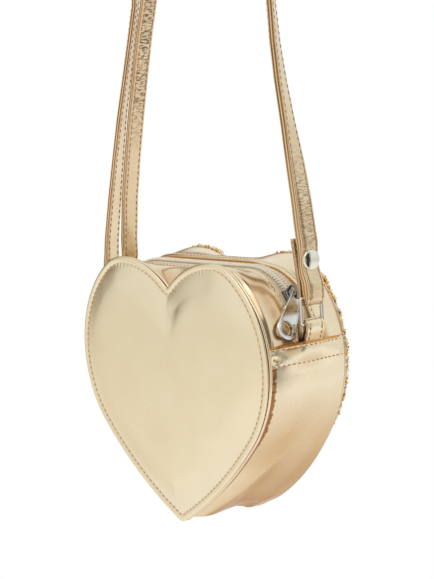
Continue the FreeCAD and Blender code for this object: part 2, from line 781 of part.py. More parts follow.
places = {
    "hang point in heart axes": hang_point,
    "zip hinge": V(*(zip_centre[0], 0, zip_centre[1])) - hang_point,
    "pull pivot": pivot - hang_point,
    "pull hole": pivot + pull_along * pull_length - hang_point,
    "pull axis out": pull_out,
    "right ring upper bar": V(ring_x, 0, ring_top_z) - hang_point,
    "right ring lower bar": V(ring_x, 0, ring_low_z) - hang_point,
    "left ring upper bar": V(-ring_x, 0, ring_top_z) - hang_point,
    "left run way": run_way,
    "return run foot": return_points[0] - hang_point,
    "lobe peak": V(lobe_peak_x, 0, lobe_peak_z) - hang_point,
    "widest": V(half_width, 0, widest_z) - hang_point,
}
for name, place in places.items():
    print(f"{name}: {place.x:.4f} {place.y:.4f} {place.z:.4f}")
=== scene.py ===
import math

import bmesh
import bpy
import numpy as np
from mathutils import Matrix, Vector


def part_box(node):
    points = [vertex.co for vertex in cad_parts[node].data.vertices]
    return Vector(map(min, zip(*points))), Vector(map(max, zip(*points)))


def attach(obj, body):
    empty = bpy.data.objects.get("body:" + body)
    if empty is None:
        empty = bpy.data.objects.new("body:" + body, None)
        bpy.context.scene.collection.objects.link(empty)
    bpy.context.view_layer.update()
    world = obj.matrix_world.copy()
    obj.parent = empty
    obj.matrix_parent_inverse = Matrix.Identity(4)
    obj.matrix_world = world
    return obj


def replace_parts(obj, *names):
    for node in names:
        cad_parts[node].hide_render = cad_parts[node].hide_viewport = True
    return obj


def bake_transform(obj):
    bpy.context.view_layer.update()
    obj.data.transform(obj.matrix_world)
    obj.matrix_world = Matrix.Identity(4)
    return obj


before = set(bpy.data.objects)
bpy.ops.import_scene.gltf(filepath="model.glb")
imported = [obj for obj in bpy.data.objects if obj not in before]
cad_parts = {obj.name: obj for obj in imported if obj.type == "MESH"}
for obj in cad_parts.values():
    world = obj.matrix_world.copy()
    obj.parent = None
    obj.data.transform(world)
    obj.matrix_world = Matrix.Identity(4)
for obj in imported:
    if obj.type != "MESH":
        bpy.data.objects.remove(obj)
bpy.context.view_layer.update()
rng = np.random.default_rng(7)

# Heart outline, the same arcs as the part's source, in mm and degrees, with the tip's corner at 0, 0
LOBE_X = 33.1
INNER_R = 47.0
CLEFT_R = 2.0
CROWN_R = 21.6
CROWN_TURN = 35.4
SHOULDER_R = 51.8
FLANK_R = 54.7
FLANK_TURN = 41.5
LOWER_TURN = 17.7
TIP_RUN = 10.0
TIP_R = 6.0
SEAM_Y = 25.0
ZIP_DROP = 3.45
ZIP_R = 30.0
HEM_RISE = 9.2
SIDES = (("back", -1), ("front", 1))
FLIP = np.array([-1, 1])


def sin(a):
    return math.sin(math.radians(a))


def cos(a):
    return math.cos(math.radians(a))


TIP_A = 90 + FLANK_TURN + LOWER_TURN
CLEFT_TURN = math.degrees(math.asin(LOBE_X / (INNER_R + CLEFT_R)))
HALF_W = LOBE_X + CROWN_R * sin(CROWN_TURN) + SHOULDER_R * (1 - sin(CROWN_TURN))
FLANK_X = HALF_W - FLANK_R * (1 - cos(FLANK_TURN))
LOWER_R = (FLANK_X + TIP_RUN * cos(TIP_A)) / (cos(FLANK_TURN) - sin(TIP_A))
FLANK_Z = TIP_RUN * sin(TIP_A) - LOWER_R * (sin(FLANK_TURN) + cos(TIP_A))
WIDEST_Z = FLANK_Z + FLANK_R * sin(FLANK_TURN)
PEAK_Z = WIDEST_Z + SHOULDER_R * cos(CROWN_TURN) + CROWN_R * (1 - cos(CROWN_TURN))
SHOULDER_C = (HALF_W - SHOULDER_R, WIDEST_Z)
FLANK_C = (HALF_W - FLANK_R, WIDEST_Z)
LOWER_C = (FLANK_X - LOWER_R * cos(FLANK_TURN), FLANK_Z + LOWER_R * sin(FLANK_TURN))
CROWN_C = (LOBE_X, PEAK_Z - CROWN_R)
INNER_C = (LOBE_X, PEAK_Z - INNER_R)
CLEFT_C = (0, INNER_C[1] + (INNER_R + CLEFT_R) * cos(CLEFT_TURN))
HEM_Z = WIDEST_Z + HEM_RISE
ZIP_Z = PEAK_Z - ZIP_DROP

skin_low, skin_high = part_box("back_panel_skin")
SHIFT = np.array([(skin_low[0] + skin_high[0]) * 500, 0.0, skin_high[2] * 1000 - PEAK_Z])


# Small helpers
def row(points):
    """Points in the heart's millimetres, moved to the row frame in metres."""
    return (np.asarray(points, dtype=float) + SHIFT) / 1000


def smooth(x, low, high):
    """0 up to low, 1 from high on, with a smooth step between."""
    t = np.clip((np.asarray(x, dtype=float) - low) / (high - low), 0, 1)
    return t * t * (3 - 2 * t)


def fall(x, low, high):
    return 1 - smooth(x, low, high)


def bell(x, middle, width):
    """1 at the middle, fading to 0 on both sides."""
    return np.exp(-(((x - middle) / width) ** 2))


def wave(*terms):
    """A slow, even noise: sines of the given phases added up."""
    return sum(np.sin(t) for t in terms) / len(terms)


def turns(count):
    """Angles of one full turn, in even steps."""
    return np.linspace(0, 2 * math.pi, count, endpoint=False)


def blunt(x, power):
    """x drawn towards 1 or -1, for soft-cornered sections."""
    return np.sign(x) * np.abs(x) ** power


def unit(v):
    return v / np.maximum(np.linalg.norm(v, axis=-1, keepdims=True), 1e-9)


def lift(xz, y):
    """x, z points with y values, as x, y, z."""
    xz = np.asarray(xz)
    return np.stack([xz[:, 0], np.broadcast_to(y, len(xz)), xz[:, 1]], 1)


def pushed(points, normals, out):
    return points + normals * np.reshape(out, (-1, 1))


def chained(runs):
    """Runs of points and normals, one after another."""
    return tuple(np.concatenate(part) for part in zip(*runs))


def closed_run(points):
    return np.concatenate([points, points[:1]])


def distances(points):
    """How far each point lies from the first, along their run."""
    return np.concatenate([[0], np.cumsum(np.linalg.norm(np.diff(points, axis=0), axis=1))])


def along(points, s, values=None):
    """Points, or values kept in step with them, at distances s along an open run of points."""
    at = distances(points)
    values = points if values is None else values
    return np.stack([np.interp(s, at, column) for column in values.T], 1)


def ease(values, width):
    """A run of values, smoothed along its length with its ends kept."""
    kernel = np.hanning(2 * width + 3)[1:-1]
    kernel /= kernel.sum()
    padded = np.concatenate([np.repeat(values[:1], width, 0), values, np.repeat(values[-1:], width, 0)])
    return np.stack([np.convolve(column, kernel, "valid") for column in padded.T], 1)


def softened(line):
    """A line with its corners eased and its two ends where they were."""
    return np.concatenate([line[:1], ease(line, 2)[1:-1], line[-1:]])


# Sampling the outline
def arc_run(centre, radius, start, end, count, endpoint=False):
    a = np.radians(np.linspace(start, end, count, endpoint=endpoint))
    out = np.stack([np.sin(a), np.cos(a)], 1)
    return np.array(centre) + radius * out, out


def straight(start, end, count, normal, endpoint=False):
    return np.linspace(start, end, count, endpoint=endpoint), np.repeat([normal], count, 0)


def heart_ring(d):
    """The whole outline moved outward by d: points and outward normals in x, z, always in step."""
    tip_r = max(TIP_R + d, 0.4)
    tip_c = np.array([0, (d - tip_r) / cos(TIP_A)])
    side = np.array([sin(TIP_A), cos(TIP_A)])
    end = tip_c + tip_r * side
    points, normals = chained([
        arc_run(INNER_C, INNER_R + d, -CLEFT_TURN, 0, 56),
        arc_run(CROWN_C, CROWN_R + d, 0, CROWN_TURN, 22),
        arc_run(SHOULDER_C, SHOULDER_R + d, CROWN_TURN, 90, 80),
        arc_run(FLANK_C, FLANK_R + d, 90, 90 + FLANK_TURN, 64),
        arc_run(LOWER_C, LOWER_R + d, 90 + FLANK_TURN, TIP_A, 90),
        straight(np.array(LOWER_C) + (LOWER_R + d) * side, end, 12, side),
    ])
    tip = arc_run(tip_c, tip_r, TIP_A, 360 - TIP_A, 12)
    left = np.concatenate([end[None], points[:0:-1]]) * FLIP
    left_n = np.concatenate([normals[-1:], normals[:0:-1]]) * FLIP
    cleft, cleft_n = arc_run(CLEFT_C, CLEFT_R - d, 180 + CLEFT_TURN, 180 - CLEFT_TURN, 8)
    return chained([(points, normals), tip, (left, left_n), (cleft, -cleft_n)])


def outline(d):
    return heart_ring(d)[0]


RING, RING_N = heart_ring(0)
RING_S = distances(RING)


# Meshes
def weave(rings, closed=True, ends=True):
    """Quads between rings of points that are in step; ends closes the first and last ring."""
    count = len(rings[0])
    verts = np.concatenate(rings)
    steps = [(i, (i + 1) % count) for i in range(count if closed else count - 1)]
    starts = range(0, len(verts) - count, count)
    faces = [(a + i, a + j, a + count + j, a + count + i) for a in starts for i, j in steps]
    if ends:
        faces.append(tuple(range(count)))
        faces.append(tuple(range(len(verts) - 1, len(verts) - 1 - count, -1)))
    return verts, faces


def shell(rings):
    """Open rings joined back to the first one, with a face at each end."""
    verts, faces = weave([*rings, rings[0]], closed=False, ends=False)
    count = len(rings[0])
    for end in (0, count - 1):
        faces.append(tuple(k * count + end for k in range(len(rings))))
    return verts, faces


def joined(parts):
    """Several meshes as one."""
    faces = []
    base = 0
    for verts, part_faces in parts:
        faces.extend(tuple(i + base for i in face) for face in part_faces)
        base += len(verts)
    return np.concatenate([verts for verts, _ in parts]), faces


def placed(name, mesh, material, body, flat=False):
    """A mesh put into the scene, riding on a body."""
    mesh.polygons.foreach_set("use_smooth", [not flat] * len(mesh.polygons))
    mesh.materials.append(material)
    obj = bpy.data.objects.new(name, mesh)
    bpy.context.scene.collection.objects.link(obj)
    if body:
        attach(obj, body)
    return obj


def piece(name, shape, material, body, slot, flat=False, **layers):
    """A piece from points and faces, with the values that its material reads kept on the points."""
    verts, faces = shape
    mesh = bpy.data.meshes.new(name)
    mesh.from_pydata(row(verts).tolist(), [], faces)
    for key, values in layers.items():
        layer = mesh.attributes.new(key, "FLOAT", "POINT")
        layer.data.foreach_set("value", np.asarray(values, dtype=np.float32))
    bm = bmesh.new()
    bm.from_mesh(mesh)
    bmesh.ops.remove_doubles(bm, verts=bm.verts, dist=1e-6)
    bmesh.ops.recalc_face_normals(bm, faces=bm.faces)
    bm.to_mesh(mesh)
    bm.free()
    return placed(name, mesh, material, body, flat)


def stitches(points, outward, pitch, length, radius, sides=6, rise=0.16, sink=0.2):
    """A row of thread stitches on a run of points, each bowed up and sunk at its ends."""
    total = distances(points)[-1]
    count = int(total / pitch)
    pitch = total / count
    angles = turns(sides)[:, None]
    steps = np.linspace(0, 1, 6)
    arch = np.sin(math.pi * steps)
    height = -sink + (rise + sink) * arch**0.6
    thick = radius * (0.7 + 0.3 * arch)
    parts = []
    for k in range(count):
        s = k * pitch + (pitch - length) / 2 + steps * length
        base = along(points, s)
        up = unit(along(points, s, outward))
        across = unit(np.cross(unit(np.gradient(base, axis=0)), up))
        centre = pushed(base, up, height)
        parts.append(weave([
            c + t * (np.cos(angles) * a + np.sin(angles) * u) for c, t, a, u in zip(centre, thick, across, up)
        ]))
    return joined(parts)


# Materials
def node_tree(name):
    material = bpy.data.materials.new(name)
    material.use_nodes = True
    tree = material.node_tree
    return material, tree, tree.nodes["Principled BSDF"]


def feed(tree, socket, value):
    """Set a socket, or link it to another."""
    if isinstance(value, bpy.types.NodeSocket):
        tree.links.new(value, socket)
    else:
        socket.default_value = value


def put(tree, node, *values, **named):
    """Fill a node's inputs, by place or by name, and its own settings."""
    for key, value in named.items():
        socket = node.inputs.get(key.replace("_", " "))
        if socket is None:
            setattr(node, key, value)
        else:
            feed(tree, socket, value)
    for socket, value in zip(node.inputs, values):
        feed(tree, socket, value)
    return node


def new(tree, kind, *values, **named):
    return put(tree, tree.nodes.new("ShaderNode" + kind), *values, **named)


def maths(tree, operation, *values):
    return new(tree, "Math", *values, operation=operation).outputs[0]


def object_space(tree):
    return new(tree, "TexCoord").outputs["Object"]


def noise(tree, scale, detail=4.0, rough=0.55, stretch=None):
    """Noise in object space; scale counts features per metre."""
    source = object_space(tree)
    if stretch:
        source = new(tree, "Mapping", Vector=source, Scale=stretch).outputs["Vector"]
    return new(tree, "TexNoise", Vector=source, Scale=scale, Detail=detail, Roughness=rough).outputs["Fac"]


def span(tree, value, low, high, to_low=0.0, to_high=1.0):
    return new(tree, "MapRange", value, low, high, to_low, to_high).outputs["Result"]


def mix(tree, factor, a, b):
    node = new(tree, "Mix", factor, data_type="RGBA")
    for socket, value in zip(node.inputs[6:8], (a, b)):
        feed(tree, socket, (*value, 1) if isinstance(value, tuple) else value)
    return node.outputs[2]


def bump(tree, height, strength, distance):
    return new(tree, "Bump", Height=height, Strength=strength, Distance=distance).outputs["Normal"]


def value_of(tree, key):
    """A value kept on the mesh's points."""
    return new(tree, "Attribute", attribute_name=key).outputs["Fac"]


FOIL_METAL = 0.92
WORN = (0.15, 0.105, 0.055)


def foil(name, pale, deep, edge, rough=0.3, grain=0.015, crackle=0.0, shades=None):
    """Gold foil on soft leather: slow colour drift, fine grain, warm brown where it is tinted: the brown of
    cut edges, and painted shade in grooves, creases and folds.
    """
    material, tree, shader = node_tree(name)
    color = mix(tree, span(tree, noise(tree, 38, 3.0), 0.3, 0.7), pale, deep)
    # Painted highlight and painted shade: a shade level above 0 mixes towards the first colour, cream, and
    # below 0 towards the second, brown.
    if shades:
        level = value_of(tree, "shade")
        color = mix(tree, span(tree, level, 0.0, 1.0), color, shades[0])
        color = mix(tree, span(tree, level, -1.0, 0.0, 1.0, 0.0), color, shades[1])
    color = mix(tree, value_of(tree, "tint"), color, edge)
    height = noise(tree, 2400, 2.0)
    if crackle:
        wear = value_of(tree, "wear")
        streaks = span(tree, noise(tree, 900, 3.0, 0.6, stretch=(1.0, 0.35, 1.6)), 0.44, 0.6)
        color = mix(tree, maths(tree, "MULTIPLY", streaks, wear), color, WORN)
        lines = maths(tree, "MULTIPLY", noise(tree, 420, 5.0, 0.7, stretch=(1.0, 0.25, 2.4)), wear)
        height = maths(tree, "MULTIPLY_ADD", lines, crackle, height)
    gloss = span(tree, noise(tree, 120), 0.3, 0.7, rough - 0.04, rough + 0.05)
    normal = bump(tree, height, grain, 0.0004)
    put(tree, shader, Base_Color=color, Metallic=FOIL_METAL, Roughness=gloss, Normal=normal)
    return material


def plated(name, color, rough, wear):
    """Polished plating with faint scratches and a little dulling."""
    material, tree, shader = node_tree(name)
    cloud = span(tree, noise(tree, 160), 0.35, 0.7, 0.0, wear)
    gloss = span(tree, noise(tree, 500, 5.0), 0.3, 0.7, rough, rough + 0.12)
    normal = bump(tree, noise(tree, 1800, 2.0, stretch=(1.0, 6.0, 1.0)), 0.05, 0.0002)
    color = mix(tree, cloud, color, tuple(c * 0.72 for c in color))
    put(tree, shader, Base_Color=color, Metallic=1.0, Roughness=gloss, Normal=normal)
    return material


def cloth(name, color, shade, weave_scale, rough=0.75, sheen=0.3):
    """Fine woven cloth."""
    material, tree, shader = node_tree(name)
    settings = {"Vector": object_space(tree), "Scale": weave_scale, "Distortion": 0.4}
    waves = [new(tree, "TexWave", bands_direction=way, **settings).outputs["Fac"] for way in ("X", "Y")]
    ribs = maths(tree, "ADD", *waves)
    color = mix(tree, span(tree, ribs, 0.3, 1.7), shade, color)
    normal = bump(tree, ribs, 0.35, 0.0003)
    put(tree, shader, Base_Color=color, Roughness=rough, Sheen_Weight=sheen, Normal=normal)
    return material


def thread(name, color, shade):
    """Twisted sewing thread."""
    material, tree, shader = node_tree(name)
    twist = noise(tree, 2400, 2.0, stretch=(1.0, 3.0, 1.0))
    color = mix(tree, span(tree, twist, 0.35, 0.65), shade, color)
    normal = bump(tree, twist, 0.4, 0.0002)
    put(tree, shader, Base_Color=color, Roughness=0.6, Sheen_Weight=0.2, Normal=normal)
    return material


def stone(name, color, deep, metal=0.35):
    """Cut stone with a mirror behind it: glossy, with its colour changing from stone to stone."""
    material, tree, shader = node_tree(name)
    patch = new(tree, "TexVoronoi", Scale=420, Vector=object_space(tree)).outputs["Distance"]
    color = mix(tree, span(tree, patch, 0.1, 0.7), color, deep)
    gloss = span(tree, noise(tree, 700), 0.3, 0.7, 0.05, 0.16)
    put(tree, shader, Base_Color=color, Metallic=metal, Roughness=gloss)
    put(tree, shader, IOR=1.6, Coat_Weight=0.6, Coat_Roughness=0.04)
    return material


GOLD = foil("gold_foil", (0.83, 0.71, 0.475), (0.80, 0.67, 0.435), (0.32, 0.15, 0.045))
SIDE_GOLD = ((0.84, 0.72, 0.49), (0.80, 0.67, 0.44))
# Painted highlight and painted shade for the foot of the gusset: cream and brown.
PAINTED_HIGHLIGHT_AND_SHADE = ((0.97, 0.93, 0.72), (0.48, 0.28, 0.12))
GOLD_GUSSET = foil("gold_foil_gusset", *SIDE_GOLD, (0.34, 0.15, 0.04), rough=0.27, shades=PAINTED_HIGHLIGHT_AND_SHADE)
GOLD_HEM = foil("gold_foil_hem", *SIDE_GOLD, (0.62, 0.28, 0.06), rough=0.27)
GOLD_STRIP = foil("gold_foil_strip", (0.86, 0.73, 0.50), (0.80, 0.65, 0.42), (0.60, 0.30, 0.08), rough=0.17)
STRAP_GOLD = ((0.85, 0.73, 0.49), (0.78, 0.63, 0.39), (0.46, 0.21, 0.045))
GOLD_STRAP = foil("gold_foil_strap", *STRAP_GOLD, rough=0.22, grain=0.14, crackle=1.2)
THREAD = thread("thread_brown", (0.52, 0.28, 0.13), (0.34, 0.16, 0.06))
THREAD_PANEL = thread("thread_tan", (0.82, 0.57, 0.37), (0.66, 0.42, 0.24))
THREAD_PALE = thread("thread_cream", (0.95, 0.88, 0.72), (0.84, 0.72, 0.52))
TAPE = cloth("zip_tape_weave", (0.90, 0.76, 0.52), (0.74, 0.57, 0.34), 900)
COIL = cloth("zip_coil_nylon", (0.96, 0.90, 0.76), (0.88, 0.79, 0.60), 1500, rough=0.35, sheen=0.0)
LINING = cloth("lining_weave", (0.45, 0.35, 0.22), (0.28, 0.20, 0.12), 700)
NICKEL = plated("nickel_plate", (0.74, 0.71, 0.62), 0.02, 0.3)
NICKEL_CAP = plated("nickel_cap", (0.76, 0.72, 0.59), 0.0, 0.1)
NICKEL_PULL = plated("nickel_pull", (0.74, 0.73, 0.69), 0.12, 0.4)
DARK_NICKEL = plated("dark_nickel_plate", (0.26, 0.24, 0.22), 0.12, 0.6)
STONES = {
    "amber": stone("stone_amber", (1.0, 0.66, 0.12), (0.90, 0.46, 0.05)),
    "clear": stone("stone_clear", (0.97, 0.96, 0.93), (0.84, 0.83, 0.80), metal=0.4),
    "brown": stone("stone_brown", (0.45, 0.23, 0.07), (0.24, 0.11, 0.03)),
    "straw": stone("stone_straw", (0.98, 0.85, 0.50), (0.90, 0.68, 0.28)),
}
STONE_BED = stone("stone_bed", (0.74, 0.50, 0.18), (0.48, 0.28, 0.09), metal=0.5)

# Padded panels
INSETS = [0.45, 0.9, 1.5, 2.1, 2.5, 2.8, 3.0, 3.2, 3.5, 3.9, 4.4, 5.0, 5.8, 6.8, 8.0, 9.4, 11.0, 12.0]
INNER_STEPS = [0.05, 0.1, 0.16, 0.22, 0.29, 0.37, 0.46, 0.55, 0.65, 0.75, 0.85, 0.94]
INNER_REACH = 45
PANEL_MID = np.array([0.0, 66.0])
STITCH_INSET = 3.0
STITCH_PITCH = 2.8
PAD_START = 3.3
PAD_POWER = 2.3
FRONT_PAD = 3.9
FRONT_TUCK = 1.1
# The panels' turned edges: steps out, distance behind the seam's plane, and tint, which on the back panel is
# painted shade where the edge dips into the seam
TURNED_EDGE = (
    (-2.4, 1.35, 1.0),
    (-0.5, 1.3, 1.0),
    (-0.05, 1.05, 1.0),
    (0.1, 0.75, 0.35),
    (0.12, 0.55, 0.0),
    (0.02, 0.22, 0.0),
)


def crown(inset, reach, power):
    """A rise from 0 at the stitches to 1 at a reach from them."""
    return 1 - (1 - np.clip((inset - PAD_START) / reach, 0, 1)) ** power


def pad_height(inset, xz, side):
    """How far the padded skin stands out of the seam's plane."""
    if side > 0:
        return np.full(len(xz), FRONT_PAD * crown(inset, 10.0, PAD_POWER))
    x, z = xz.T
    slack = 24.0 * smooth(z, 60, 92) * smooth(x, -6, 10) * fall(x, 22, 46)
    reach = 17.0 + 3.0 * smooth(z, 88, 112) * smooth(-x, -8, 30) + slack
    height = 2.9 * crown(inset, reach, PAD_POWER) + 2.0 * crown(inset, 52.0, 2)
    rim = (0.1 + 0.24 * smooth(z, 40, 90)) * bell(inset, 1.5, 1.0)
    stitch_groove = 0.1 * bell(inset, STITCH_INSET, 0.42)
    crease = 0.3 * bell(x, 0, 1.5) * smooth(z, 88, 108) * smooth(inset, 2.5, 5)
    drift = 0.14 * wave(x / 9 + z / 15, z / 11 - x / 23, x / 17 + 1.3) * smooth(inset, 4, 14)
    return height + rim - stitch_groove - crease + drift


def pucker(inset, z):
    """Small radial puckers at the back panel's stitches, strongest over the lobes."""
    strength = (0.05 + 0.1 * smooth(z, 96, 116)) * (0.75 + 0.5 * wave(RING_S / 5.3, RING_S / 3.7 + 1))
    shape = bell(inset, STITCH_INSET + 0.9, 1.1)
    return strength * shape * (0.5 + 0.5 * np.cos(2 * math.pi * RING_S / STITCH_PITCH))


def padded_rings(insets, base, side):
    """Rings of a padded face, from its edge to its middle, on a base level."""
    rings = []
    least = 0.0 if side < 0 else FRONT_TUCK + 0.3
    for inset in insets:
        xz = outline(-max(inset, least))
        height = pad_height(inset, xz, side)
        if side < 0:
            height = height - pucker(inset, xz[:, 1])
        rings.append(lift(xz, side * (base + height)))
    edge = outline(-INSETS[-1])
    for t in INNER_STEPS:
        xz = PANEL_MID + (edge - PANEL_MID) * (1 - t)
        rings.append(lift(xz, side * (base + pad_height(INSETS[-1] + INNER_REACH * t, xz, side))))
    return rings


def panel(name, side):
    rings = []
    for d, back, _ in TURNED_EDGE:
        xz, way_out = heart_ring(d if side < 0 else d - FRONT_TUCK)
        if side > 0:
            xz = pushed(xz, way_out, 2.6 * fall(xz[:, 1], 8, 34))
        rings.append(lift(xz, side * (SEAM_Y - back)))
    rings += padded_rings(INSETS, SEAM_Y, side)
    # Painted shade: the back panel's turned edge goes dark brown beside the piping, and a faint brown follows
    # the stitch line on both panels.
    levels = [dark if side < 0 else 0.15 for _, _, dark in TURNED_EDGE]
    levels += [*(0.12 * bell(np.array(INSETS), STITCH_INSET, 0.5)), *np.zeros(len(INNER_STEPS))]
    obj = piece(name, weave(rings), GOLD, "bag", "gold_leather", tint=np.repeat(levels, len(RING)))
    return obj


back_panel = panel("back_panel", -1)
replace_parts(back_panel, "back_panel_skin", "back_panel_foam", "back_panel_board")
stitch_run = closed_run(lift(outline(-STITCH_INSET), -(SEAM_Y + 0.02)))
backward = np.repeat([[0.0, -1.0, 0.0]], len(stitch_run), 0)
panel_row = stitches(stitch_run, backward, STITCH_PITCH, 1.6, 0.19, rise=0.1)
piece("back_panel_stitches", panel_row, THREAD_PANEL, "bag", "gold_leather")
front_panel = panel("front_panel", 1)
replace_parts(front_panel, "front_panel_skin", "front_panel_foam", "front_panel_board")

# Piping in both seams
PIPING_OUT = -0.95
PIPING_Y = 22.35
PIPING_R = (1.12, 0.95)


def piping(name, side):
    angles = turns(14)
    middle = PIPING_OUT if side < 0 else PIPING_OUT - 1.3
    wobble = 0.05 * wave(RING_S / 7, RING_S / 3.1 + 2)
    levels = np.full(len(angles), 0.2)
    if side < 0:
        wobble = wobble - 0.6 * smooth(RING[:, 0], 6, 16) * smooth(RING[:, 1], 102, 110)
        # Painted shade: on the back piping the side turned into the seam goes dark brown.
        levels = 0.9 * fall(np.cos(angles), 0.1, 0.75)
    rings = []
    for a in angles:
        xz, normal = heart_ring(middle + PIPING_R[0] * math.cos(a))
        rings.append(lift(pushed(xz, normal, wobble), side * (PIPING_Y + PIPING_R[1] * math.sin(a))))
    shape = weave([*rings, rings[0]], ends=False)
    return piece(name, shape, GOLD_STRIP, "bag", "piping", tint=np.repeat(closed_run(levels), len(RING)))


for side_name, side in SIDES:
    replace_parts(piping(f"{side_name}_piping", side), f"{side_name}_seam_piping")

# Lower gusset, from the right hem round the tip to the left hem
GUSSET_HALF = 22.0
GUSSET_INSIDE = -2.35
FRONT_EDGE_Y = 23.5
HEM_PULL = 4.8
STRIP_PULL = 1.6
PULL_SPREAD = 11.0


def gusset_path(top):
    """Outline points and normals below a height, with exact ends."""
    below = np.nonzero(RING[:, 1] < top)[0]
    first, last = below[0], below[-1]
    both = np.concatenate([RING, RING_N], 1)
    ends = []
    for a, b in ((first - 1, first), (last + 1, last)):
        t = (top - RING[b, 1]) / (RING[a, 1] - RING[b, 1])
        ends.append(both[b] + t * (both[a] - both[b]))
    path = np.concatenate([ends[:1], both[first : last + 1], ends[1:]])
    return path[:, :2], unit(path[:, 2:])


def tab_pull(z, y, most):
    """How far a tab pulls the middle of a side out, near its hem."""
    return most / (1 + (np.abs(y) / PULL_SPREAD) ** 4) * smooth(z, 74, 88)


def groove(z, y):
    """Painted shade: brown in the groove beside the near piping, wide and ragged under the hem, thin further
    down.
    """
    edge = 19.3 - smooth(z, 36, 50) * (1.0 + 0.7 * wave(z * 1.7, z * 0.9 + 2, z * 2.9))
    return smooth(-y, edge - 0.35, edge + 0.35)


def gusset_out(xz, y):
    """How far the gusset's skin stands out of the outline."""
    x, z = xz.T
    v = y / GUSSET_HALF
    out = np.full(len(xz), -1.75 + 1.35 * (1 - abs(v) ** 3) if v < 0 else -0.4 - 0.3 * v**3)
    out += fall(z, 16, 64) * (4.4 * smooth(v, -0.1, 0.8) + 0.9 * bell(v, -0.45, 0.42))
    folds = 2.7 * bell(v, 0.44, 0.3) + 1.9 * smooth(v, 0.5, 0.9) + 0.8 * bell(v, 0.57, 0.07)
    out -= bell(x, 0, 11.0) * fall(z, 4, 18) * (folds - 0.2 * bell(v, -0.58, 0.42))
    rag = smooth(z, 38, 52) * fall(z, 84, 90) * smooth(x, 0, 20) * bell(v, -0.97, 0.075)
    out += 0.45 * rag * wave(z * 1.9, z * 3.1 + 1, z * 0.8 + 2)
    drift = 0.18 * wave(z / 8 + v * 2, z / 13 - v * 3 + x / 30) * (1 - abs(v) ** 4)
    return out + tab_pull(z, y, HEM_PULL) + drift


def gusset_painted_light(z, y):
    """Painted light over the foot of the gusset: a cream painted highlight beside the near piping and brown
    painted shade past the middle.
    """
    v = y / GUSSET_HALF
    turn = 0.022 * z - 0.68
    cream = fall(z, 22, 36) * fall(v, turn - 0.12, turn + 0.12)
    brown = smooth(v, turn - 0.05, turn + 0.2) * (0.5 * fall(z, 20, 44) + 0.6 * fall(z, 2, 16))
    return 0.85 * cream - 0.75 * brown


GUSSET, GUSSET_N = gusset_path(HEM_Z)
gusset_rows = np.concatenate([np.linspace(-21.9, -17.4, 16), np.linspace(-16.8, FRONT_EDGE_Y, 48)])
count, rows = len(GUSSET), len(gusset_rows)
gusset_z = GUSSET[:, 1]
outer_rings = []
inner_rings = []
for y in gusset_rows:
    inside = GUSSET_INSIDE + tab_pull(gusset_z, y, HEM_PULL)
    outer_rings.append(lift(pushed(GUSSET, GUSSET_N, gusset_out(GUSSET, y)), y))
    inner_rings.append(lift(pushed(GUSSET, GUSSET_N, inside), y))
verts, faces = weave([*inner_rings, *outer_rings[::-1], inner_rings[0]], closed=False, ends=False)
for end in (0, count - 1):
    inner = [k * count + end for k in range(rows)]
    outer = [(2 * rows - 1 - k) * count + end for k in range(rows)]
    faces.extend((inner[k], inner[k + 1], outer[k + 1], outer[k]) for k in range(rows - 1))


def on_outside(values):
    """Values for the gusset's outer rings, with 0 inside."""
    return np.concatenate([np.zeros(count * rows), *values[::-1], np.zeros(count)])


gusset = piece(
    "gusset",
    (verts, faces),
    GOLD_GUSSET,
    "bag",
    "gold_leather",
    # Painted shade in the groove beside the near piping, and painted highlight and painted shade over the
    # foot.
    tint=on_outside([0.95 * groove(gusset_z, y) for y in gusset_rows]),
    shade=on_outside([gusset_painted_light(gusset_z, y) for y in gusset_rows]),
)
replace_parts(gusset, "lower_gusset")

# Hems at both ends of the gusset, each with two rows of stitches
HEM_ROWS = (86.55, 79.3)
HEM_FOOT = 78.3
HEM_HALF = 21.95
HEM_THICK = 1.22


def hem_out(z, v):
    """How far a hem stands out of the outline: a pillow between its two rows."""
    high, low = HEM_ROWS
    pillow = np.sin(np.clip((z - low) / (high - low), 0, 1) * math.pi) ** 0.7
    out = -0.5 + 0.4 * pillow * (1 - abs(v) ** 6) - 0.5 * abs(v) ** 8
    return out + 0.28 * smooth(z, high, high + 0.9) - 0.75 * fall(z, low - 1.0, low)


def side_frame(z):
    """Point and outward normal on the right shoulder or flank at heights z."""
    centre_x = np.where(z > WIDEST_Z, SHOULDER_C[0], FLANK_C[0])
    radius = np.where(z > WIDEST_Z, SHOULDER_R, FLANK_R)
    reach = np.sqrt(radius**2 - (z - WIDEST_Z) ** 2)
    return np.stack([centre_x + reach, z], 1), unit(np.stack([reach, z - WIDEST_Z], 1))


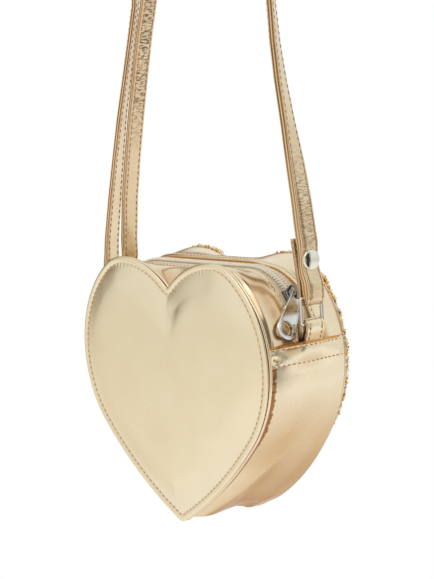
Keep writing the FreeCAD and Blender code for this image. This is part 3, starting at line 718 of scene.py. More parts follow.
def hem(name, way):
    mirror = np.array([way, 1])
    heights = np.concatenate([np.linspace(HEM_FOOT, 87.5, 40), np.linspace(87.6, HEM_Z + 0.35, 8)])
    points, normals = side_frame(heights)
    rings = []
    for y in np.linspace(-HEM_HALF, FRONT_EDGE_Y, 60):
        v = min(y / HEM_HALF, 1.0)
        crimp = 0.16 * wave(heights * 2.4 + y, heights * 1.1 - y * 0.7) * abs(v) ** 4
        dent = 0.9 * bell(heights, 82.3, 1.6) * bell(y, -19.0, 1.7)
        pulled = pushed(points, normals, tab_pull(heights, y, HEM_PULL))
        outer = pushed(pulled, normals, hem_out(heights, v) + crimp - dent)
        ring = np.concatenate([outer, (pulled - normals * HEM_THICK)[::-1]])
        rings.append(lift(ring * mirror, y))
    level = 0.95 * smooth(heights, 86.95, 87.2) + 0.6 * fall(heights, HEM_FOOT, 78.9)
    tint = np.tile(np.concatenate([level, np.full(len(level), 0.95)]), len(rings))
    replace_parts(piece(name, weave(rings), GOLD_HEM, "bag", "gold_leather", tint=tint), f"gusset_{name}")
    ys = np.linspace(-21.4, FRONT_EDGE_Y - 0.5, 80)
    rows_found = []
    for z in HEM_ROWS:
        base, normal = side_frame(np.full(len(ys), z))
        out = hem_out(z, ys / HEM_HALF) + tab_pull(z, ys, HEM_PULL) + 0.03
        line = lift(pushed(base, normal, out) * mirror, ys)
        rows_found.append(stitches(line, lift(normal * mirror, 0.0), 2.75, 2.0, 0.25))
    piece(f"{name}_stitches", joined(rows_found), THREAD, "bag", "gold_leather")


hem("hem_right", 1)
hem("hem_left", -1)

# Zip strips: a saddle from each seam to the level zip
STRIP_X = SHOULDER_C[0] + math.sqrt((SHOULDER_R - 2.4) ** 2 - HEM_RISE**2) - 0.2
FLAT_HALF = STRIP_X - ZIP_R
ZIP_C = (FLAT_HALF, ZIP_Z - ZIP_R)
MIDDLE_X = 4.0
STRIP_STEPS = (14, 40, 22, 52)
MIDDLE_STEPS = 9
STRIP_EDGE_Y = 7.0
STRIP_THICK = 1.9
STRIP_STITCH = 0.86
NEAR_SEAM = -1.7
FAR_SEAM = -0.7


def mirrored(runs, middle):
    """A right half joined over x = 0 to its mirror image."""
    points, normals = chained(runs)
    return chained([(points, normals), middle, (points[::-1] * FLIP, normals[::-1] * FLIP)])


def zip_path(d):
    """The zip path from the right hem to the left one, in step with seam_path: points and normals."""
    rise, bend, top, level = STRIP_STEPS
    x, z = STRIP_X + d, ZIP_Z + d
    up = (0.0, 1.0)
    runs = [
        straight((x, WIDEST_Z), (x, ZIP_C[1]), rise, (1.0, 0.0)),
        arc_run(ZIP_C, ZIP_R + d, 90, CROWN_TURN, bend),
        arc_run(ZIP_C, ZIP_R + d, CROWN_TURN, 0, top),
        straight((FLAT_HALF, z), (MIDDLE_X, z), level, up),
    ]
    return mirrored(runs, straight((MIDDLE_X, z), (-MIDDLE_X, z), MIDDLE_STEPS, up, endpoint=True))


def seam_path(d):
    """The heart's own edge over the same stretch."""
    r = SHOULDER_R + d
    split = math.degrees(math.acos((ZIP_C[1] - WIDEST_Z) / r))
    spans = (
        (SHOULDER_C, r, 90, split),
        (SHOULDER_C, r, split, CROWN_TURN),
        (CROWN_C, CROWN_R + d, CROWN_TURN, 0),
        (INNER_C, INNER_R + d, 0, -CLEFT_TURN),
    )
    runs = [arc_run(*where, steps) for where, steps in zip(spans, STRIP_STEPS)]
    turn = (180 - CLEFT_TURN, 180 + CLEFT_TURN)
    cleft, inward = arc_run(CLEFT_C, CLEFT_R - d, *turn, MIDDLE_STEPS, endpoint=True)
    return mirrored(runs, (cleft, -inward))


def strip_edge(z, side):
    """Where a strip's folded edge lies: under the tab the near one closes in and the far one opens."""
    return STRIP_EDGE_Y - (3.0 if side < 0 else -0.6) * fall(z, 88, 111)


ZIP_P, ZIP_N = zip_path(0)


def strip_surface(v, side):
    """Outer surface of a strip: v runs from 0 at the seam to 1 at the zip's edge."""
    near = side < 0
    seam_y = 21.9 if near else FRONT_EDGE_Y
    seam, seam_n = seam_path(NEAR_SEAM if near else FAR_SEAM)
    t = smooth(v, 0.0, 0.74)
    if not near:
        t = t * (1 - 0.92 * smooth(np.abs(seam[:, :1]), 52, 60))
    normal = unit(seam_n + (ZIP_N - seam_n) * t)
    xz = ease(seam + (ZIP_P - seam) * t, 6)
    x, z = xz.T
    far = np.abs(x)
    y = seam_y + (strip_edge(z, side) - seam_y) * v
    dent = 0.33 * wave(x / 7.5 + 1, x / 4.6 + z / 9) * sin(180 * min(v * 1.15, 1)) ** 2
    dent = dent * (1 - 0.85 * smooth(far, 52, 60))
    if near:
        shift = -1.5 * fall(far, 38, 54) + 0.3 * smooth(far, 54, 61)
        ripple = 0.22 * wave(x / 4.0 + v * 5, z / 4.6 - v * 7 + 2) * sin(180 * min(v * 1.2, 1))
        dent = dent + smooth(far, 30, 44) * (1.05 * smooth(v, 0.0, 0.2) + ripple * fall(far, 52, 60))
    else:
        right = 0.6 * fall(far, 22, 34) - 0.9 * smooth(far, 26, 38) * fall(far, 48, 57)
        shift = np.where(x < 0, 0.6 * fall(far, 40, 52), right)
        dent = dent * fall(far, 50, 60) + 0.8 * sin(180 * v) * fall(far, 44, 58)
    roll = 0.3 * bell(v, 0.95, 0.05) - 0.14 * bell(v, STRIP_STITCH, 0.03)
    pull = tab_pull(z, y, STRIP_PULL) * fall(z, 88, 98)
    out = dent + roll + shift * smooth(v, 0.3, 0.9) + pull
    return lift(pushed(xz, normal, out), y), lift(normal, 0.0)


FOLD_DEPTH = 0.55
# Painted shade: brown over the strips' folded edges and on their insides.
FOLD_PAINTED_SHADE = [0.1, 0.4, 0.7, 0.85, 0.9, 0.95, 1.0, 1.0]
INSIDE_PAINTED_SHADE = [0.8, 0.6, 0.5, 0.6]


def strip(name, side):
    flip = np.array([1, side, 1])
    columns = np.concatenate([np.linspace(0, 0.7, 18), np.linspace(0.73, 0.97, 13)])
    rings = [strip_surface(v, side)[0] for v in columns]
    edge, normal = strip_surface(1.0, side)
    for a in np.linspace(0.3, math.pi, len(FOLD_PAINTED_SHADE)):
        ring = edge - normal * (STRIP_THICK / 2 * (1 - math.cos(a)))
        ring[:, 1] = edge[:, 1] + FOLD_DEPTH * (1 - math.sin(a))
        rings.append(ring)
    for v in (0.9, 0.6, 0.3, 0.0):
        surface, n = strip_surface(v, side)
        rings.append(surface - n * STRIP_THICK)
    # Painted shade: brown at the seam beside the piping and along the stitch line.
    levels = [*(0.85 * fall(columns, 0, 0.09) + 0.6 * bell(columns, STRIP_STITCH, 0.035))]
    levels += FOLD_PAINTED_SHADE + INSIDE_PAINTED_SHADE
    tint = np.outer([*levels, levels[0]], np.ones(len(ZIP_P)))
    x, z = ZIP_P.T
    far = np.abs(x)
    # Painted reflection and painted shadow: on the near strip a brown band across the middle of its width
    # along the sides and an orange-brown patch by the cleft; on the far strip, brown under the ring.
    if side < 0:
        painted_light_patches = [
            (0.5 * np.sin(math.pi * columns) ** 2, smooth(far, 36, 48)),
            (0.6 * fall(columns, 0.1, 0.7), fall(far, 8, 22)),
        ]
    else:
        painted_light_patches = [(0.9 * smooth(columns, 0.45, 0.7), (x > 0) * fall(z, 88, 98))]
    outside = tint[: len(columns)]
    for across, lengthways in painted_light_patches:
        np.maximum(outside, np.outer(across, lengthways), out=outside)
    shape = shell([r * flip for r in rings])
    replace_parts(piece(name, shape, GOLD_STRIP, "bag", "gold_leather", tint=tint.ravel()), name)
    line, up = strip_surface(STRIP_STITCH, side)
    strip_row = stitches(line * flip, up, 2.6, 1.8, 0.25, rise=0.2)
    piece(f"{name}_stitches", strip_row, THREAD_PALE, "bag", "gold_leather")


for side_name, side in SIDES:
    strip(f"zip_strip_{side_name}", side)

# Zip tapes and coil
TAPE_INSIDE = -2.65
COIL_PITCH = 1.6
COIL_END = 61
# One loop of the coil: distance across, level, and half sizes along the zip and out of it
COIL_LOOP = (
    (-0.75, -0.75, 0.18, 0.2),
    (-0.65, -0.6, 0.5, 0.5),
    (-0.2, -0.4, 0.62, 0.66),
    (0.5, -0.6, 0.46, 0.5),
    (1.3, -0.55, 0.5, 0.54),
    (1.9, -0.4, 0.62, 0.66),
    (2.5, -0.6, 0.5, 0.52),
    (2.75, -0.95, 0.22, 0.25),
)


def tape_face(y):
    """The tape's outer face: raised under the coil, tucked below the strips."""
    return zip_path(-2.1 + 0.75 * bell(y, 1.6, 2.4))[0]


def tape(name, side):
    inside = zip_path(TAPE_INSIDE)[0][::-1]
    rings = [lift(np.concatenate([tape_face(y), inside]), side * y) for y in np.linspace(0.5, 11.2, 18)]
    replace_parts(piece(name, weave(rings), TAPE, "bag", "zip_tape"), name)
    sewn = slice(16, -16)
    up = lift(ZIP_N, 0.0)[sewn]
    parts = []
    for y in (2.85, 3.5):
        line = lift(tape_face(y), side * y)[sewn]
        parts.append(stitches(line, up, 1.6, 1.25, 0.17, sides=5, rise=0.1, sink=0.1))
    piece(f"{name}_stitches", joined(parts), THREAD_PALE, "bag", "zip_tape")


def coil(name, side):
    """Nylon loops: each one a bent bead that reaches across the middle into the other row."""
    count = int(2 * (FLAT_HALF + math.radians(COIL_END) * ZIP_R) / COIL_PITCH)
    angles = turns(8)[:, None]
    parts = []
    for k in range(count):
        travel = (k + (0.5 if side > 0 else 0) - count / 2) * COIL_PITCH
        over = abs(travel) - FLAT_HALF
        way = math.copysign(1, travel)
        a = max(over, 0) / ZIP_R
        base_x = way * (FLAT_HALF + ZIP_R * math.sin(a)) if over > 0 else travel
        base_z = ZIP_C[1] + ZIP_R * math.cos(a)
        up = np.array([way * math.sin(a), 0, math.cos(a)])
        ahead = np.array([math.cos(a), 0, -way * math.sin(a)])
        rings = []
        for y, w, rx, rz in COIL_LOOP:
            centre = np.array([base_x, side * y, base_z]) + up * w
            rings.append(centre + np.cos(angles) * ahead * rx + np.sin(angles) * up * rz)
        parts.append(weave(rings))
    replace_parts(piece(name, joined(parts), COIL, "bag", "zip_coil"), name)


for side_name, side in SIDES:
    tape(f"zip_tape_{side_name}", side)
    coil(f"zip_coil_{side_name}", side)

# Linings inside, thin closed shells
LINING_T = 0.4
GUSSET_LINER = 2.55
PLATE_STEPS = ((-5.0, 22.7), (-4.4, 22.6), (-4.3, 22.35), (-4.4, 22.1), (-5.0, 22.0))
LINER_STEPS = ((0, 21.7, 3.4), (0.5, 17.0, 3.2), (1, 12.0, 3.1), (1, 9.6, 3.1))


def lining(name, shape, node):
    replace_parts(piece(name, shape, LINING, "bag", "lining"), node)


liner_seam, liner_normal = seam_path(NEAR_SEAM)
for side_name, side in SIDES:
    name = f"{side_name}_panel_lining"
    lining(name, weave([lift(outline(d), side * y) for d, y in PLATE_STEPS]), name)
    runs = []
    for t, y, depth in LINER_STEPS:
        inward = unit(liner_normal + (ZIP_N - liner_normal) * t) * depth
        runs.append(lift(ease(liner_seam + (ZIP_P - liner_seam) * t - inward, 6), y))
    under = [r - lift(ZIP_N, 0.0) * LINING_T for r in reversed(runs)]
    name = f"zip_strip_lining_{side_name}"
    lining(name, shell([r * np.array([1, side, 1]) for r in [*runs, *under]]), name)

low_path, low_normal = gusset_path(WIDEST_Z - 0.2)
outer = low_path - low_normal * GUSSET_LINER
inner = low_path - low_normal * (GUSSET_LINER + LINING_T)
liner_ring = np.concatenate([outer, inner[::-1]])
gusset_liner = weave([lift(liner_ring, y) for y in np.linspace(-21.8, 21.8, 12)])
lining("gusset_lining", gusset_liner, "lower_gusset_lining")

# Slider body, bridge and pull
SLIDER_A = 52.0
PULL_LEAN = 20.0
PULL_TURN = 38.0
ACROSS = np.array([0.0, 1.0, 0.0])
SLIDER_U = np.array([cos(SLIDER_A), 0, -sin(SLIDER_A)])
SLIDER_W = np.array([sin(SLIDER_A), 0, cos(SLIDER_A)])
slider_base = np.array([ZIP_C[0], 0, ZIP_C[1]]) + ZIP_R * SLIDER_W


def on_axes(points, origin, *axes):
    """Points given along three axes, moved to where those lie."""
    return origin + np.asarray(points, dtype=float) @ np.array(axes)


def on_slider(points):
    """Points along the zip, across it and out of it, moved to the parked slider."""
    return on_axes(points, slider_base, SLIDER_U, ACROSS, SLIDER_W)


def at_level(plan, w):
    return np.column_stack([plan, np.full(len(plan), w)])


def plate_outline(count):
    """The slider's plan: wide and rounded in front, narrower behind."""
    a = turns(count)
    u = 1.3 + 3.2 * blunt(np.cos(a), 0.55)
    half = 2.5 + 0.7 * smooth(u, -1.5, 4.0)
    return np.stack([u, half * blunt(np.sin(a), 0.5)], 1)


def cushion_plate(low, high, bulge):
    """A plate with rounded edges."""
    plan = plate_outline(64)
    steps = [(1.0, low), (0.25, low), (0.0, low + 0.25)]
    steps += [(0.0, high - 0.35), (0.3, high - 0.08), (1.0, high)]
    rings = [at_level(plan * (1 - inset / 5.0), w) for inset, w in steps]
    return weave([*rings, at_level(plan * 0.45, high + bulge)])


def cuboid(u0, u1, y0, y1, w0, w1, cut=0.18):
    """A block with its edges cut off."""
    c = cut * 0.8
    rings = []
    for w, inset in ((w0, cut), (w0 + cut, 0), (w1 - cut, 0), (w1, cut)):
        a0, a1, b0, b1 = u0 + inset, u1 - inset, y0 + inset, y1 - inset
        one_side = [(a0 + c, b0), (a1 - c, b0), (a1, b0 + c), (a1, b1 - c)]
        other_side = [(a1 - c, b1), (a0 + c, b1), (a0, b1 - c), (a0, b0 + c)]
        rings.append(at_level(np.array(one_side + other_side), w))
    return weave(rings)


verts, faces = joined([
    cushion_plate(-0.15, 0.97, 0.12),
    cuboid(-1.6, 4.2, 2.6, 3.15, -1.6, 0.0),
    cuboid(-1.6, 4.2, -3.15, -2.6, -1.6, 0.0),
    cuboid(-1.9, 4.9, -3.6, 3.6, -4.6, -3.55),
    cuboid(2.8, 4.4, -0.35, 0.35, -3.7, 0.2, 0.1),
])
slider = piece("slider_body", (on_slider(verts), faces), DARK_NICKEL, "slider", "dark_nickel")
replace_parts(slider, "zip_slider_body")

PIVOT_U, PIVOT_W = 3.6, 2.45
BRIDGE_HALF = (0.8, 0.52)
leg_slope = math.tan(math.radians(90 - SLIDER_A - PULL_LEAN))
bridge_line = [(-1.5, 0.6), (-1.5, 3.2), (-1.1, 4.2), (-0.2, 4.7), (2.6, 4.95), (3.9, 4.8)]
bridge_line += [(PIVOT_U + (w - PIVOT_W) * leg_slope, w) for w in (4.3, 3.4, 2.4, 1.4, 0.6)]
bridge_line = np.array(bridge_line)
bridge_line = softened(along(bridge_line, np.linspace(0, distances(bridge_line)[-1], 48)))
ahead = unit(np.gradient(bridge_line, axis=0))
angles = turns(12)
across = BRIDGE_HALF[0] * blunt(np.cos(angles), 0.6)
depth = BRIDGE_HALF[1] * blunt(np.sin(angles), 0.6)
verts, faces = weave([
    np.column_stack([u - depth * way_w, across, w + depth * way_u])
    for (u, w), (way_u, way_w) in zip(bridge_line, ahead)
])
bridge = piece("slider_bridge", (on_slider(verts), faces), DARK_NICKEL, "slider", "dark_nickel")
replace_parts(bridge, "zip_slider_bridge")

PULL_L = 17.8
HEAD_R = 2.6
EYE_R = 1.6
BODY_R = 5.1
HOLE_R = 3.5
RIM = 0.65
FACE = 0.4
SHARP_A = 38
PULL_OUT = np.array([cos(PULL_LEAN), 0, sin(PULL_LEAN)])
PULL_DOWN = np.array([sin(PULL_LEAN), 0, -cos(PULL_LEAN)])
PULL_X = PULL_DOWN * cos(PULL_TURN) - ACROSS * sin(PULL_TURN)
PULL_Y = np.cross(PULL_OUT, PULL_X)
pivot = on_slider([[PIVOT_U, 0, PIVOT_W]])[0]
bm = bmesh.new()


def round_plan(radius, x, angles):
    return np.stack([x + radius * np.cos(angles), radius * np.sin(angles)], 1)


def teardrop(grow, count=96):
    """Outline of the pull, moved outward by grow."""
    half = math.acos((HEAD_R - BODY_R) / PULL_L)
    return np.concatenate([
        round_plan(BODY_R + grow, PULL_L, np.linspace(half, -half, count // 2)),
        round_plan(HEAD_R + grow, 0.0, np.linspace(-half, half - 2 * math.pi, count // 2)),
    ])


def rim_steps(inner, bevel, edge, soft):
    """A rim's section: steps out of its outline with their levels, from one face to the other."""
    half = [(inner, FACE), (bevel, RIM), (edge, RIM), (0.0, RIM - soft)]
    return [(step, -w) for step, w in half] + half[::-1]


def rim(plan_at, steps):
    """A rim round one outline of the pull: its first and last ring of vertices."""
    rings = []
    for step, w in steps:
        points = on_axes(at_level(plan_at(step), w), pivot, PULL_X, PULL_Y, PULL_OUT)
        rings.append([bm.verts.new(p) for p in row(points)])
    for a, b in zip(rings, rings[1:]):
        for i in range(len(a)):
            j = (i + 1) % len(a)
            bm.faces.new((a[i], a[j], b[j], b[i]))
    return rings[0], rings[-1]


HOLE_STEPS = rim_steps(0.32, 0.27, 0.08, 0.12)
rims = [
    rim(teardrop, rim_steps(-0.75, -0.62, -0.2, 0.2)),
    rim(lambda step: round_plan(HOLE_R + step, PULL_L, turns(48)), HOLE_STEPS),
    rim(lambda step: round_plan(EYE_R + step, 0.0, turns(32)), HOLE_STEPS),
]
for loops in zip(*rims):
    edges = [bm.edges.get((loop[i - 1], loop[i])) for loop in loops for i in (*range(1, len(loop)), 0)]
    bmesh.ops.triangle_fill(bm, use_beauty=True, use_dissolve=False, edges=edges)
bmesh.ops.recalc_face_normals(bm, faces=bm.faces)
mesh = bpy.data.meshes.new("pull_plate")
bm.to_mesh(mesh)
bm.free()
pull = placed("pull_plate", mesh, NICKEL_PULL, "pull")
pull.modifiers.new("sharp", "EDGE_SPLIT").split_angle = math.radians(SHARP_A)
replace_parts(pull, "zip_pull")

# Strap: a mid-line through rounded corners, bowed, twisted and thickened along its height
tab_foot_x = SHOULDER_C[0] + math.sqrt((SHOULDER_R - 1.2) ** 2 - HEM_RISE**2)
RING_X = tab_foot_x + 6.35
RING_LOW = HEM_Z + 9.0
RING_TOP = RING_LOW + 11.7
STRAP_T = 2.2
PLAY = 0.3
FOLD_R = 0.9 + PLAY + STRAP_T / 2
LEG = (STRAP_T + PLAY) / 2
RIVET_Z = RING_TOP + 17.0
TAIL_IN = 5.2
TAIL_Z = RIVET_Z + 9.6
FOLD_LOW = RING_TOP - FOLD_R
FOLD_HIGH = RING_TOP + 6.0
APEX = np.array([25.2, RING_TOP + 364.4])
LEFT_LAND = np.array([-RING_X - 0.9, RING_TOP + 18.0])
RETURN_START = (-RING_X + FOLD_R, RING_TOP + 2.0)


def rounded(points, radii, step=1.2):
    """A mid-line through corners, each rounded by its radius, as close points."""
    points = np.array(points, dtype=float)
    line = [points[0]]
    for before, corner, after, radius in zip(points, points[1:], points[2:], radii):
        way_in, way_out = unit(corner - before), unit(after - corner)
        turn = math.acos(float(np.clip(way_in @ way_out, -1, 1)))
        inward = unit(way_out - way_in)
        centre = corner + inward * radius / math.cos(turn / 2)
        count = max(3, int(radius * turn / 0.35)) if radius < 6 else max(4, int(radius * turn))
        spin = np.linspace(-turn / 2, turn / 2, count)[:, None]
        line.extend(centre + radius * (np.sin(spin) * unit(way_in + way_out) - np.cos(spin) * inward))
    line.append(points[-1])
    fine = [line[0]]
    for a, b in zip(line, line[1:]):
        gap = np.linalg.norm(b - a)
        if gap >= 1e-6:
            fine.extend(np.linspace(a, b, math.ceil(gap / step) + 1)[1:])
    return np.array(fine)


# Half an edge of the strap, three glued layers: distance across, share of the half thickness, and tint
EDGE = [
    (0.9, 1.03, 0.0),
    (1.9, 1.03, 0.0),
    (3.2, 1.0, 0.0),
    # The tint from 3.45 to 3.85 across darkens the stitch groove on the face: painted shade.
    (3.45, 0.95, 0.35),
    (3.65, 0.9, 0.6),
    (3.85, 0.95, 0.35),
    (4.1, 1.0, 0.0),
    (4.55, 0.97, 0.0),
    (4.85, 0.88, 0.0),
    (4.97, 0.76, 0.0),
    (4.92, 0.66, 0.1),
    (4.7, 0.6, 0.95),
    (4.4, 0.43, 1.0),
    (4.7, 0.26, 0.95),
    (4.92, 0.2, 0.1),
    (4.98, 0.0, 0.0),
]
right_edge = EDGE + [(a, -b, t) for a, b, t in reversed(EDGE[:-1])]
SECTION = np.array(right_edge + [(-a, -b, t) for a, b, t in right_edge])
STITCH_ACROSS = 3.65


def strap_frames(line, twist, half):
    """Centres, width directions, face directions and half thickness along a strap; twist in degrees."""
    ahead = unit(np.gradient(line, axis=0))
    face = lift(np.stack([ahead[:, 1], -ahead[:, 0]], 1), 0.0)
    spin = np.radians(np.broadcast_to(twist, len(line)))[:, None]
    wide = ACROSS * np.cos(spin) + face * np.sin(spin)
    face = face * np.cos(spin) - ACROSS * np.sin(spin)
    return lift(line, 0.0), wide, face, np.broadcast_to(half, len(line))


def strap_piece(name, frames, body, slot, mirror=1, shade=0.0, wear=0.0):
    """A strap along its frames; shade and wear are levels along it, and wear keeps to the faces' middle."""
    across, level, dark = SECTION.T[:, :, None]
    rings = [c + across * w + level * h * f for c, w, f, h in zip(*frames)]
    verts, faces = weave(rings)
    shades, wears = (np.broadcast_to(v, len(rings)) for v in (shade, wear))
    tint = np.maximum(np.tile(dark[:, 0], len(rings)), np.repeat(shades, len(SECTION)))
    worn = np.outer(wears, np.where(np.abs(SECTION[:, 0]) < 3.9, 1.0, 0.15)).ravel()
    shape = (verts * np.array([mirror, 1, 1]), faces)
    return piece(name, shape, GOLD_STRAP, body, slot, tint=tint, wear=worn)


def strap_stitches(name, frames, keep, body):
    centre, wide, face, half = (v[keep] for v in frames)
    rows_found = []
    for across in (-STITCH_ACROSS, STITCH_ACROSS):
        for side in (1, -1):
            line = pushed(centre + wide * across, face, side * half * 0.93)
            rows_found.append(stitches(line, face * side, 3.0, 2.2, 0.32, sides=5, rise=0.05))
    return piece(name, joined(rows_found), THREAD, body, "strap_leather")


def bowed(line, bow):
    return line + np.stack([bow, np.zeros(len(bow))], 1)


strap_line = rounded(
    [
        (RING_X - TAIL_IN, TAIL_Z),
        (RING_X - FOLD_R, FOLD_HIGH),
        (RING_X - FOLD_R, FOLD_LOW),
        (RING_X + FOLD_R + 0.3, FOLD_LOW),
        (RING_X + FOLD_R + 0.9, FOLD_HIGH),
        (RING_X + LEG + 0.2, RIVET_Z - 3.0),
        (RING_X + LEG, RIVET_Z + 7.0),
        APEX,
        LEFT_LAND,
        (-RING_X - FOLD_R, FOLD_HIGH),
        (-RING_X - FOLD_R, FOLD_LOW),
        (-RING_X + FOLD_R, FOLD_LOW),
        RETURN_START,
    ],
    [15.0, FOLD_R, FOLD_R, 8.0, 12.0, 25.0, 14.5, 60.0, 25.0, FOLD_R, FOLD_R],
)
height = strap_line[:, 1]
index = np.arange(len(strap_line))
apex_index = int(np.argmax(height))
fold_index = int(np.argmin(height[:apex_index]))
on_tail = index < fold_index
on_right = (index > fold_index) & (index < apex_index)
BOW_AT_RIVET = -1.5
TAIL_HALF = 0.92


def by_run(tail, right, left):
    """Values along the strap, by run: each a number, or heights with values there."""
    found = [np.interp(height, *v) if isinstance(v, tuple) else v for v in (tail, right, left)]
    return np.where(on_tail, found[0], np.where(index < apex_index, found[1], found[2]))


strap_twist = by_run(
    0.0,
    ([140, 152, 168, 187, 215, 241, 300, 340, 400], [0, -3, -9, -23, -33, -40, -40, -22, 0]),
    ([108, 122, 150, 190, 230, 244, 250, 257, 263], [0, 16, 22, 34, 42, 43, 30, 8, 0]),
)
strap_half = by_run(
    TAIL_HALF,
    (
        [104.5, 107, 112, 119, RIVET_Z, 134, 145, 175, 220, 420],
        [1.0, 1.3, 2.3, 2.1, 1.3, 2.1, 2.0, 1.7, 1.5, 1.2],
    ),
    ([105, 120, 240, 262, 386, 400], [1.0, 1.2, 1.2, 1.08, 1.08, 1.2]),
)
strap_bow = by_run(
    0.0,
    (
        [108, 114, 120, RIVET_Z, 139, 152, 170, 188, 206, 223, 241, 290],
        [0, -0.5, -1.2, BOW_AT_RIVET, BOW_AT_RIVET, -1.1, -1.4, -2.1, -2.7, -2.4, -0.9, 0],
    ),
    ([126, 130, 150, 170, 190, 210, 230, 243, 262], [0, -0.3, -1.3, -2.0, -2.4, -1.7, -1.2, -0.9, 0]),
)
strap_bow = strap_bow - np.where(on_right & (height < 124), 0.6 * (strap_half - 1.1), 0)
strap_wear = by_run(
    0.1,
    ([128, 133, 158, 172, 190, 300], [0.1, 0.5, 0.65, 0.3, 0.05, 0.0]),
    ([110, 150, 250, 300], [0.05, 0.05, 0.15, 0.0]),
)
strap_shade = by_run(0.22, 0.22, 0.1)
strap_set = strap_frames(bowed(strap_line, strap_bow), strap_twist, strap_half)
strap_obj = strap_piece("strap", strap_set, "strap", "strap_leather", shade=strap_shade, wear=strap_wear)
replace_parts(strap_obj, "strap_main")
strap_stitches("strap_stitches", strap_set, slice(None), "strap")

# Return run and end loop at the adjuster
run_way = unit(APEX - LEFT_LAND)
run_in = np.array([run_way[1], -run_way[0]])
run_share = (RING_TOP + 221.4 - LEFT_LAND[1]) / (APEX[1] - LEFT_LAND[1])
adjuster_mid = LEFT_LAND + (APEX - LEFT_LAND) * run_share
LOOP_R = 0.8 + PLAY + STRAP_T / 2
LOOP_HALF = 1.06
PIN_IN = STRAP_T / 2 + PLAY + LOOP_R + STRAP_T / 2


def on_run(along_run, inward):
    return adjuster_mid + run_way * along_run + run_in * inward


return_line = rounded(
    [
        RETURN_START,
        (-RING_X + FOLD_R, RING_TOP + 5.3),
        (-RING_X + 13.5, RING_TOP + 9.5),
        on_run(-16.3, PIN_IN - LEG),
    ],
    [4.0, 8.0],
)
return_z = return_line[:, 1]
return_bow = np.interp(
    return_z,
    [116, 130, 150, 170, 190, 210, 230, 250, 270, 312],
    [0, -2.4, -3.9, -3.9, -3.3, -2.2, -0.8, 1.5, 2.1, 0],
)
return_line = bowed(return_line, return_bow)
return_set = strap_frames(
    return_line,
    -np.interp(return_z, [112, 124, 188, 245, 280, 300, 308], [0, 10, 9, 9, 7, 2, 0]),
    np.interp(return_z, [110, 125, 290, 312], [1.0, 1.2, 1.2, 1.08]),
)
return_wear = np.interp(return_z, [120, 172, 186, 202, 260, 300], [0.0, 0.05, 0.5, 1.0, 1.0, 0.3])
return_obj = strap_piece("strap_return", return_set, None, "strap_leather", shade=0.3, wear=return_wear)
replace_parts(return_obj, "strap_return_run")
return_thread = strap_stitches("strap_return_stitches", return_set, slice(4, None), None)
run_ends = row(lift(return_line[[12, -6]], 0.0))
for obj in (return_obj, return_thread):
    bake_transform(obj)

loop_line = rounded(
    [
        on_run(-16.0, PIN_IN - LEG),
        on_run(-9.0, PIN_IN - LEG),
        on_run(-3.0, PIN_IN - LOOP_R),
        on_run(LOOP_R, PIN_IN - LOOP_R),
        on_run(LOOP_R, PIN_IN + LOOP_R),
        on_run(-3.0, PIN_IN + LOOP_R),
        on_run(-9.0, PIN_IN + LEG),
        on_run(-12.0, PIN_IN + LEG),
    ],
    [8.0, 8.0, LOOP_R, LOOP_R, 8.0, 8.0],
)
loop_set = strap_frames(loop_line, 0.0, LOOP_HALF)
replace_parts(strap_piece("strap_loop", loop_set, "adjuster", "strap_leather"), "strap_end_loop")
strap_stitches("strap_loop_stitches", loop_set, slice(0, 8), "adjuster")


# Rivet: a flat mirror cap, a collar that keeps the two layers apart, and a small cap behind
def lathe(centre, axis, profile, count=56):
    """A turned shape from (radius, distance along the axis) steps."""
    axis = unit(np.array(axis, dtype=float))
    a = turns(count)[:, None]
    spin = np.cos(a) * ACROSS + np.sin(a) * np.cross(axis, ACROSS)
    return weave([np.array(centre) + axis * h + spin * r for r, h in profile])


rivet_x = float(np.interp(RIVET_Z, height[on_right], strap_line[on_right, 0])) + BOW_AT_RIVET
tail_x = float(np.interp(RIVET_Z, height[on_tail][::-1], strap_line[on_tail, 0][::-1]))
tail_face = tail_x + TAIL_HALF
gap = rivet_x - 1.2 - tail_face
lean = (TAIL_IN - FOLD_R) / (TAIL_Z - FOLD_HIGH)
cap_steps = [(3.2, -0.1), (4.4, 0.0), (4.75, 0.15), (4.85, 0.5), (4.75, 0.95)]
cap_steps += [(4.45, 1.3), (4.2, 1.45), (4.05, 1.47)]
cap_steps += [(r, 1.95 - 0.029 * r * r) for r in (3.9, 3.4, 2.8, 2.1, 1.4, 0.7, 0.2)]
collar_steps = [(1.2, -0.4), (3.3, -0.1), (3.75, 0.2), (3.8, gap * 0.35), (3.3, gap * 0.5)]
collar_steps += [(2.9, gap * 0.6), (2.9, gap), (1.2, gap + 0.3)]
back_steps = [(1.5, -0.2), (2.8, 0.0), (3.0, 0.2), (2.95, 0.5), (2.6, 0.85)]
back_steps += [(1.9, 1.1), (1.0, 1.22), (0.2, 1.25)]
for name, node, material, x, axis, steps in (
    ("rivet_cap_face", "rivet_cap", NICKEL_CAP, rivet_x + 1.2, (1, 0, 0), cap_steps),
    ("rivet_collar", "rivet_post", NICKEL, tail_face, (1, 0, 0), collar_steps),
    ("rivet_back", "rivet_back_cap", NICKEL, tail_x - 0.9, (-1, 0, -lean), back_steps),
):
    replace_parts(piece(name, lathe((x, 0, RIVET_Z), axis, steps), material, "strap", "nickel"), node)

# Tabs that hold the rings
TAB_HALF = 0.78
TAB_BEND = 0.95 + 0.75
TAB_STITCH = 3.5


